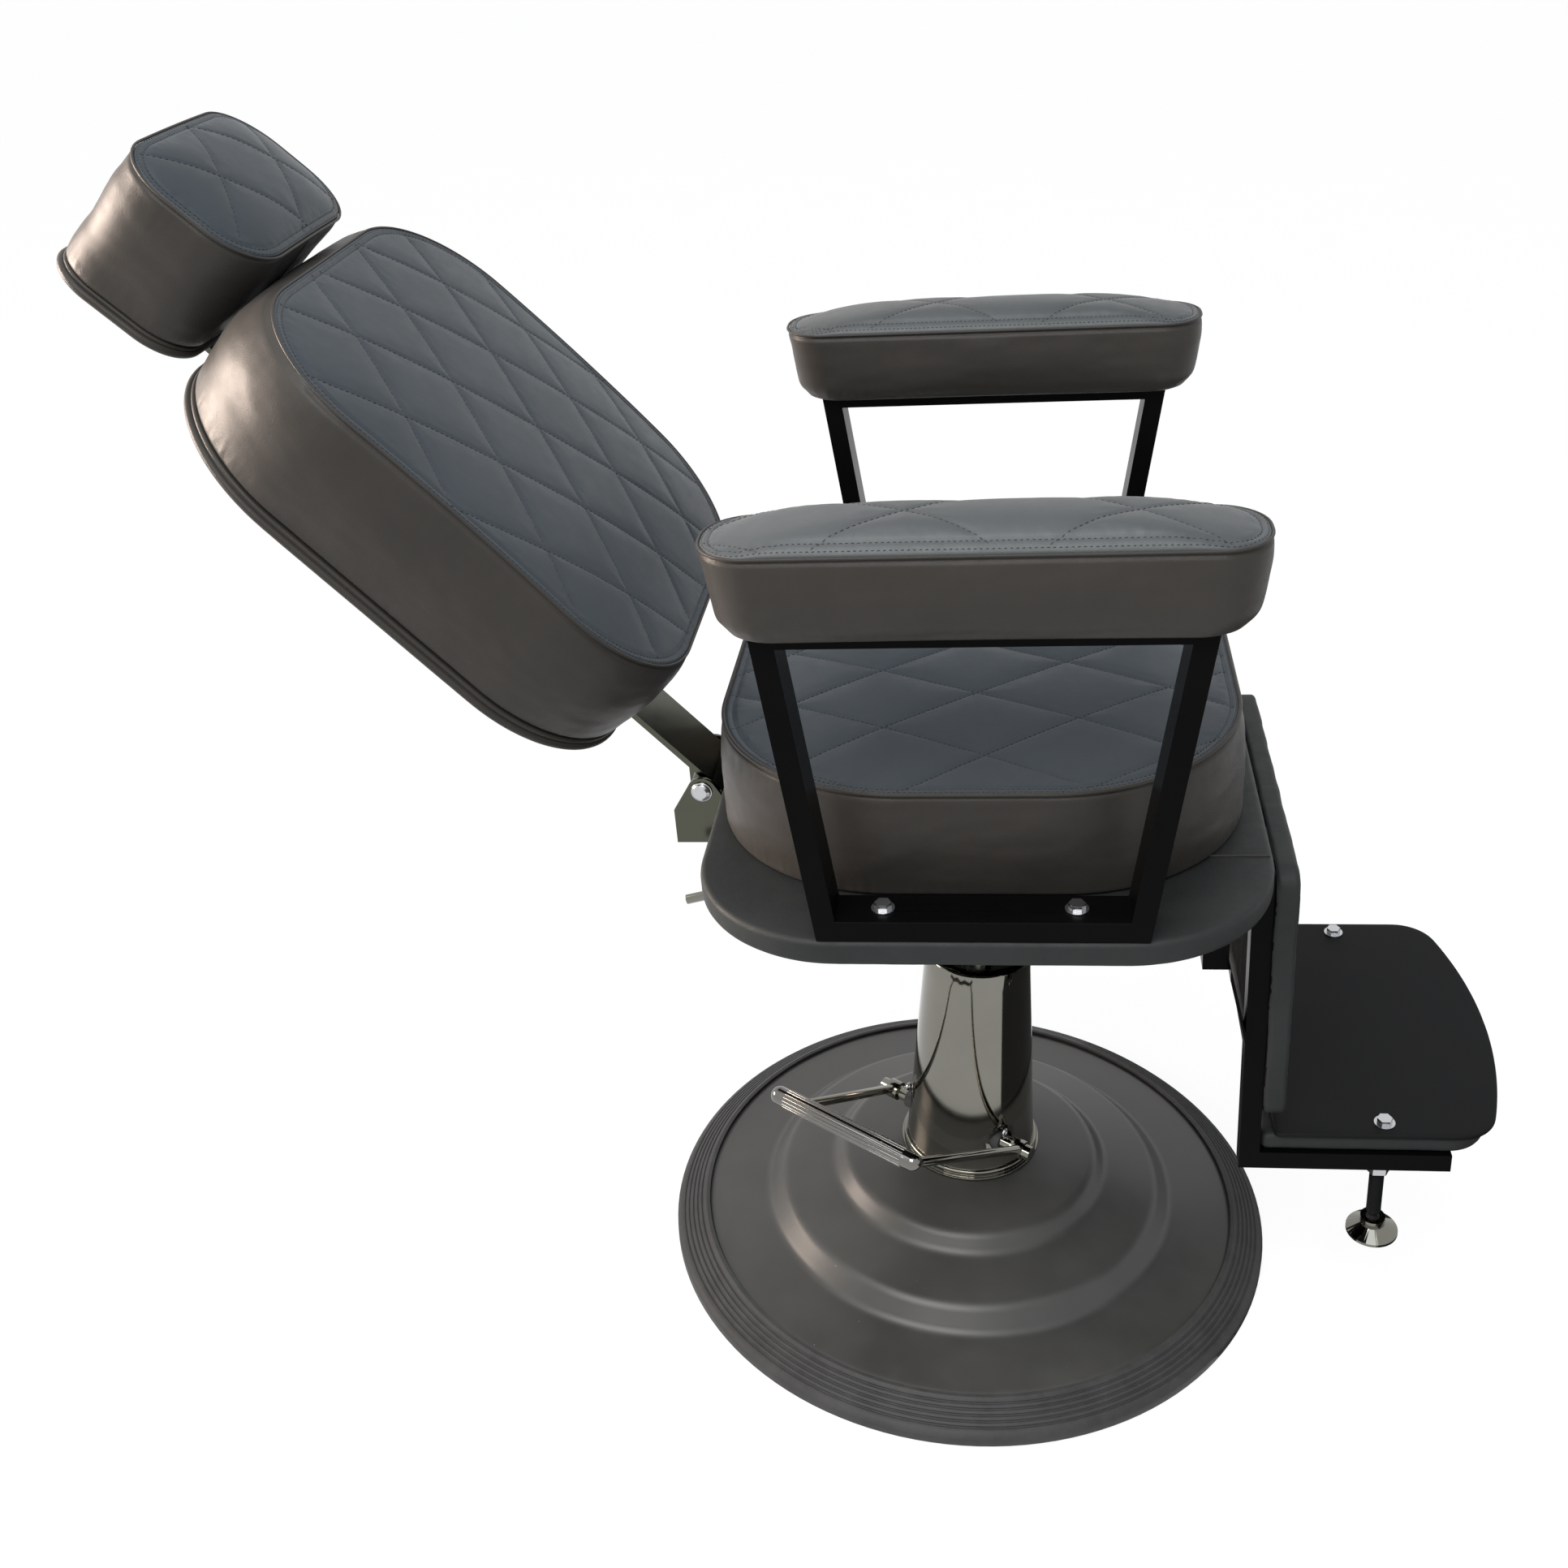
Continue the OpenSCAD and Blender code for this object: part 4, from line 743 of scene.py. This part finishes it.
def make_cushions():
    Cushion("seat_cover", SEAT @ Matrix.Translation((0, 0, 0.3 * MM)), "seat", ["seat_cushion"],
            top=Plan(246, 259, 182, -4), low=Plan(252, 258, 176, -4), seam=Seam(106.5, 0, 0),
            crown=12, bulge=Bulge(4, 4), quilt=Quilt(180.6, 113.5, -99, -35, 4.6),
            cells=(110, 110), rings=24, piping=2.1).make()
    Cushion("back_cover", BACK @ Matrix.Translation((-0.3744, 0, 27.6 * MM)),
            "back", ["backrest_cushion"],
            top=Plan(242, 232, 126, 2), low=Plan(252, 227, 138, 0), seam=Seam(122.8, 9.5, 0),
            crown=11, bulge=Bulge(14, 8), quilt=Quilt(167, 112, 6, -3, -4.2),
            cells=(110, 110), rings=26).make()
    Cushion("headrest_cover", HEAD @ Matrix.Translation((0, 0, -117.7 * MM)),
            "headrest", ["headrest_cushion"],
            top=Plan(75, 128, 58, 4), low=Plan(70, 118, 46, -3), seam=Seam(123, 1, 4),
            crown=15, bulge=Bulge(0, 3), quilt=Quilt(129, 112, 64, 0, -4),
            cells=(40, 64), rings=26, joins=(1, -1)).make()
    for side, name in ((-1, "right"), (1, "left")):
        Cushion("armrest_cover_" + name,
                SEAT @ Matrix.Translation((0.010, side * 0.306, 296.3 * MM)),
                "seat", ["armrest_pad_" + name],
                top=Plan(223, 46.5, 42, -1), low=Plan(213, 45, 40, 0), seam=Seam(75.5, 0, 0),
                crown=22, bulge=Bulge(1, 3.5), quilt=Quilt(182, 110, 122, 0, 0),
                cells=(110, 26), rings=20, cap=3.5, tuck=8, face=PAD_PAINTED_LIGHT, joins=()).make()


# Boards, dome and threads

BOARD_STEP = 5
CAP_RINGS = (0.97, 0.9, 0.75, 0.55, 0.3)


def oblong(half_x, half_y, corner):
    """The outline of a board with round corners, as a function of how far inside its rim it is."""
    return lambda inset: outline(half_x - inset, half_y - inset, max(1, corner - inset), 0,
                                 BOARD_STEP)


def tread(rear, front, half, corner, bow):
    """The outline of the footrest: square behind, bowed in front, with round front corners."""
    radius = (half * half + bow * bow) / (2 * bow)

    def ring(inset):
        reach, tip = radius - inset, front - inset
        wide, turn = half - inset, corner - inset
        middle_x = tip - reach
        centre_y = wide - turn
        centre_x = middle_x + math.sqrt((reach - turn) ** 2 - centre_y ** 2)
        lean = math.atan2(centre_y, centre_x - middle_x)
        right = [(rear + inset, -wide + 4), (rear + inset + 4, -wide)]
        for k in range(13):
            a = -math.pi / 2 + (math.pi / 2 - lean) * k / 12
            right.append((centre_x + turn * math.cos(a), -centre_y + turn * math.sin(a)))
        for k in range(1, 20):
            a = -lean * (1 - k / 20)
            right.append((middle_x + reach * math.cos(a), reach * math.sin(a)))
        left = [(x, -y) for x, y in reversed(right[:-1])]
        points = right + left
        return resample(points + [points[0]], BOARD_STEP)[:-1]

    return ring


def covered_board(name, spot, body, node_name, ring, profile, material, wrinkle,
                  shaded_underside=None):
    """A board wrapped in vinyl, round the profile of (inset, height) from one rim to the other."""
    count = len(ring(0))
    chains = []
    for inset, z in profile:
        chains.append([(x, y, z) for x, y in fit_count(ring(inset), count)])
    first, last = chains[0], chains[-1]
    mid = sum(x for x, y, z in first) / count
    half_x = max(x for x, y, z in first) - mid

    def shrunk(chain, share):
        return [(mid + (x - mid) * share, y * share, z) for x, y, z in chain]

    chains = ([shrunk(first, share) for share in reversed(CAP_RINGS)] + chains
              + [shrunk(last, share) for share in CAP_RINGS])
    middle = (profile[0][1] + profile[-1][1]) / 2
    points, faces = [], []
    for chain in chains:
        for x, y, z in chain:
            n = ripple(x / 34, y / 34, z / 20 + half_x)
            n += 0.5 * ripple(x / 9, y / 15, z / 9)
            lift = min(wrinkle * n, wrinkle) * (1 if z > middle else -1)
            points.append(Vector((x, y, z + lift)) * MM)
    for k in range(len(chains) - 1):
        for p in range(count):
            q = (p + 1) % count
            here, there = k * count, (k + 1) * count
            faces.append((here + p, here + q, there + q, there + p))
    faces.append(tuple(reversed(range(count))))
    faces.append(tuple((len(chains) - 1) * count + p for p in range(count)))
    piece = mesh_piece(name, points, faces)
    # Painted shade: the board's underside takes the near-black material so that it reads as in
    # shade
    if shaded_underside is not None:
        piece.data.materials.append(material)
        for polygon in piece.data.polygons:
            polygon.material_index = 1 if polygon.normal.z < -0.9 else 0
        material = shaded_underside
    finish_piece(piece, spot, body, material)
    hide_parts(node_name)
    return piece


def rounded(thick, radius, steps=5):
    """A board's edge with both rims rounded."""
    turn = [math.pi / 2 * k / steps for k in range(steps + 1)]
    lower = [(radius * (1 - math.sin(a)), radius * (1 - math.cos(a))) for a in turn]
    return lower + [(inset, thick - z) for inset, z in reversed(lower)]


def welted(rolls, steps=7):
    """An edge of stuffed welts, each (middle height, radius, how far in its middle lies)."""
    made = []
    for middle, radius, inset in rolls:
        for k in range(steps + 1):
            a = -math.pi / 2 + math.pi * (0.06 + 0.88 * k / steps)
            made.append((inset - radius * math.cos(a), middle + radius * math.sin(a)))
    return made


def fit_count(chain, count):
    """The closed chain with exactly count points."""
    closed = [*chain, chain[0]]
    total = sum(math.dist(a, b) for a, b in zip(closed, closed[1:]))
    made = resample(closed, total / count)
    return made[:count]


def make_boards():
    covered_board("seat_board_cover", SEAT @ Matrix.Translation((0, 0, -0.025)),
                  "seat", "seat_board",
                  oblong(265.5, 330, 140), rounded(25, 6), PANEL, 0.25)
    turn = Matrix.Rotation(math.pi / 2, 4, "Y")
    covered_board("calf_cover", SEAT @ Matrix.Translation((0.2702, 0, -0.167)) @ turn,
                  "seat", "calf_panel",
                  oblong(145, 189.5, 22), rounded(22, 5), PANEL, 0.9, UNDERSIDE_SHADE)
    covered_board("back_board_cover", BACK @ Matrix.Translation((-0.3744, 0, 0.0133)),
                  "back", "back_board",
                  oblong(255, 230, 141), welted([(4, 4, 4), (10.6, 2.6, 5.2)]), BAND, 0.15)
    covered_board("headrest_board_cover", HEAD @ Matrix.Translation((-0.003, 0, -0.130)),
                  "headrest", "headrest_board",
                  oblong(73, 121, 48), welted([(4.2, 4.2, 4.2), (10, 2.2, 5.4)]), BAND, 0.15)
    # The smooth front corners hide a small step in the solids of the board and the plate
    covered_board("footrest_board_cover", SEAT @ Matrix.Translation((0, 0, -0.3577)),
                  "seat", "footrest_board",
                  tread(271, 517, 179, 40, 33), rounded(20, 7), PANEL, 0.5)
    plate = covered_board("footrest_plate_bowed", SEAT @ Matrix.Translation((0, 0, -0.3374)),
                          "seat", "footrest_plate",
                          tread(284, 527, 183, 44, 33), rounded(5, 1.4), MATT, 0)
    welt_line = [(x * MM, -190 * MM, 0.2 * MM) for x in range(205, 264, 3)]
    welt = tube("seat_board_welt", welt_line, 1.1 * MM)
    finish_piece(welt, SEAT, "seat", BAND)


def rounded_corners(chain, reach, steps=5):
    """The open chain with each inner corner turned into a short curve."""
    made = [chain[0]]
    for before, corner, after in zip(chain, chain[1:], chain[2:]):
        corner = Vector(corner)
        ends = []
        for other in (before, after):
            leg = Vector(other) - corner
            ends.append(corner + leg * min(0.45, reach / leg.length))
        for k in range(steps + 1):
            t = k / steps
            made.append(tuple((1 - t) ** 2 * ends[0] + 2 * t * (1 - t) * corner + t * t * ends[1]))
    return made + [chain[-1]]


def turned(name, loop, sides, body, node_name, material):
    """A closed profile of (radius, height) turned about the chair's axis."""
    points, faces = [], []
    for s in range(sides):
        a = 2 * math.pi * s / sides
        points += [(r * math.cos(a) * MM, r * math.sin(a) * MM, z * MM) for r, z in loop]
    count = len(loop)
    for s in range(sides):
        t = (s + 1) % sides
        for k in range(count):
            m = (k + 1) % count
            faces.append((s * count + k, t * count + k, t * count + m, s * count + m))
    piece = mesh_piece(name, points, faces)
    finish_piece(piece, Matrix.Identity(4), body, material)
    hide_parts(node_name)


def make_dome():
    """The pressed steel dome with its two rolled steps."""
    steps = [(306, 8), (306, 26), (301, 32), (232.5, 42), (214, 64), (156.5, 80), (142.5, 97),
             (76, 112), (68, 112)]
    outer = rounded_corners(steps, 7)
    inner = [(r - 2, z - 3) if r > 303 else (r, z - 3) for r, z in reversed(outer)]
    turned("base_dome_pressed", outer + inner[:-1] + [(303, 8)], 200, "base", "base_dome",
           SATIN)


def make_threads():
    """The rolled thread of the two levelling feet."""
    turns, steps, low, pitch, radius = 29, 18, -443, 2.2, 6.9
    for side, name in ((-1, "right"), (1, "left")):
        path = []
        for k in range(turns * steps):
            a = 2 * math.pi * k / steps
            x = 0.390 + radius * math.cos(a) * MM
            y = side * 0.168 + radius * math.sin(a) * MM
            path.append((x, y, (low + pitch * k / steps) * MM))
        piece = tube("foot_thread_" + name, path, 0.7 * MM, sides=5)
        finish_piece(piece, SEAT, "foot_" + name, MATT)


# Floor, light and world

def area(name, where, aim, size, power, colour, spread=180):
    """An oblong lamp that the camera does not see; spread in degrees."""
    data = bpy.data.lights.new(name, "AREA")
    data.shape = "RECTANGLE"
    data.size, data.size_y = size
    data.energy = power
    data.color = colour
    data.spread = math.radians(spread)
    lamp = bpy.data.objects.new(name, data)
    scene.collection.objects.link(lamp)
    lamp.location = where
    lamp.rotation_euler = (Vector(aim) - Vector(where)).to_track_quat("-Z", "Y").to_euler()
    lamp.visible_camera = False


def card_piece(name, corners):
    return mesh_piece(name, corners, [(0, 1, 2, 3)], False)


def flag(name, corners, value):
    """A card that only reflections see."""
    card = card_piece(name, corners)
    material, tree, _ = new_material(name)
    shade = node(tree, "ShaderNodeEmission", Color=(*grey(value), 1), Strength=1.0)
    tree.links.new(shade.outputs[0], tree.nodes["Material Output"].inputs["Surface"])
    card.data.materials.append(material)
    card.visible_camera = card.visible_diffuse = False
    card.visible_shadow = card.visible_transmission = False


def seen_ray(tree):
    """1 for a ray that sees the background: a camera's, a reflection's or a transmitted one."""
    path = tree.nodes.new("ShaderNodeLightPath")
    total = path.outputs["Is Camera Ray"]
    for kind in ("Is Glossy Ray", "Is Transmission Ray"):
        larger = node(tree, "ShaderNodeMath", operation="MAXIMUM")
        tree.links.new(total, larger.inputs[0])
        tree.links.new(path.outputs[kind], larger.inputs[1])
        total = larger.outputs[0]
    return total


def make_floor():
    """A pale floor that shows as white and keeps the chair's shadow."""
    far, glow_share, glow_strength = 60, 0.84, 1.1
    floor = card_piece("floor", [(-far, -far, 0), (far, -far, 0), (far, far, 0), (-far, far, 0)])
    material, tree, shader = new_material("floor_pale")
    shader.inputs["Roughness"].default_value = 0.7
    speck = noise_at(tree, place(tree), 3, 2)
    pale = ramp(tree, speck, [(0.3, grey(0.86)), (0.7, grey(0.9))])
    tree.links.new(pale, shader.inputs["Base Color"])
    glow = node(tree, "ShaderNodeEmission", Strength=glow_strength)
    mix = tree.nodes.new("ShaderNodeMixShader")
    factor = node(tree, "ShaderNodeMath", operation="MULTIPLY")
    factor.inputs[1].default_value = glow_share
    tree.links.new(seen_ray(tree), factor.inputs[0])
    tree.links.new(factor.outputs[0], mix.inputs["Fac"])
    tree.links.new(shader.outputs[0], mix.inputs[1])
    tree.links.new(glow.outputs[0], mix.inputs[2])
    tree.links.new(mix.outputs[0], tree.nodes["Material Output"].inputs["Surface"])
    floor.data.materials.append(material)


def make_world():
    """White where it is seen, and a soft cool light on the chair."""
    world = scene.world or bpy.data.worlds.new("world")
    scene.world = world
    world.use_nodes = True
    tree = world.node_tree
    tree.nodes.clear()
    output = tree.nodes.new("ShaderNodeOutputWorld")
    seen = node(tree, "ShaderNodeBackground", Color=(1, 1, 1, 1), Strength=1.0)
    lit = node(tree, "ShaderNodeBackground", Color=(0.90, 0.95, 1, 1), Strength=0.40)
    mix = tree.nodes.new("ShaderNodeMixShader")
    tree.links.new(seen_ray(tree), mix.inputs["Fac"])
    tree.links.new(lit.outputs[0], mix.inputs[1])
    tree.links.new(seen.outputs[0], mix.inputs[2])
    tree.links.new(mix.outputs[0], output.inputs["Surface"])


def make_lamps():
    area("sky", (-0.6, -0.8, 3.4), (-0.1, -0.1, 0.5), (3.0, 2.0), 38, (0.90, 0.95, 1.0))
    area("key", (-0.7, -2.2, 3.1), (0, -0.3, 0.2), (2.4, 1.4), 74, (1.0, 0.98, 0.95))
    area("warm", (-2.6, 0.1, 1.3), (-0.6, 0, 1.15), (1.2, 1.2), 17, (1.0, 0.82, 0.70), spread=50)
    over_floor, dark = 0.003, 0.05
    corners = ((0.28, -0.225), (1.4, -0.97), (1.4, 2.0), (0.15, 0.36))
    flag("flag_right", [(x, y, over_floor) for x, y in corners], dark)


make_camera()
dress_nodes()
make_cushions()
make_boards()
make_dome()
make_threads()
make_floor()
make_world()
make_lamps()
soften_edges(("seat_cushion", "backrest_cushion", "headrest_cushion", "armrest_pad_right",
              "armrest_pad_left"), 0.0006)
scene.view_settings.view_transform = "Standard"
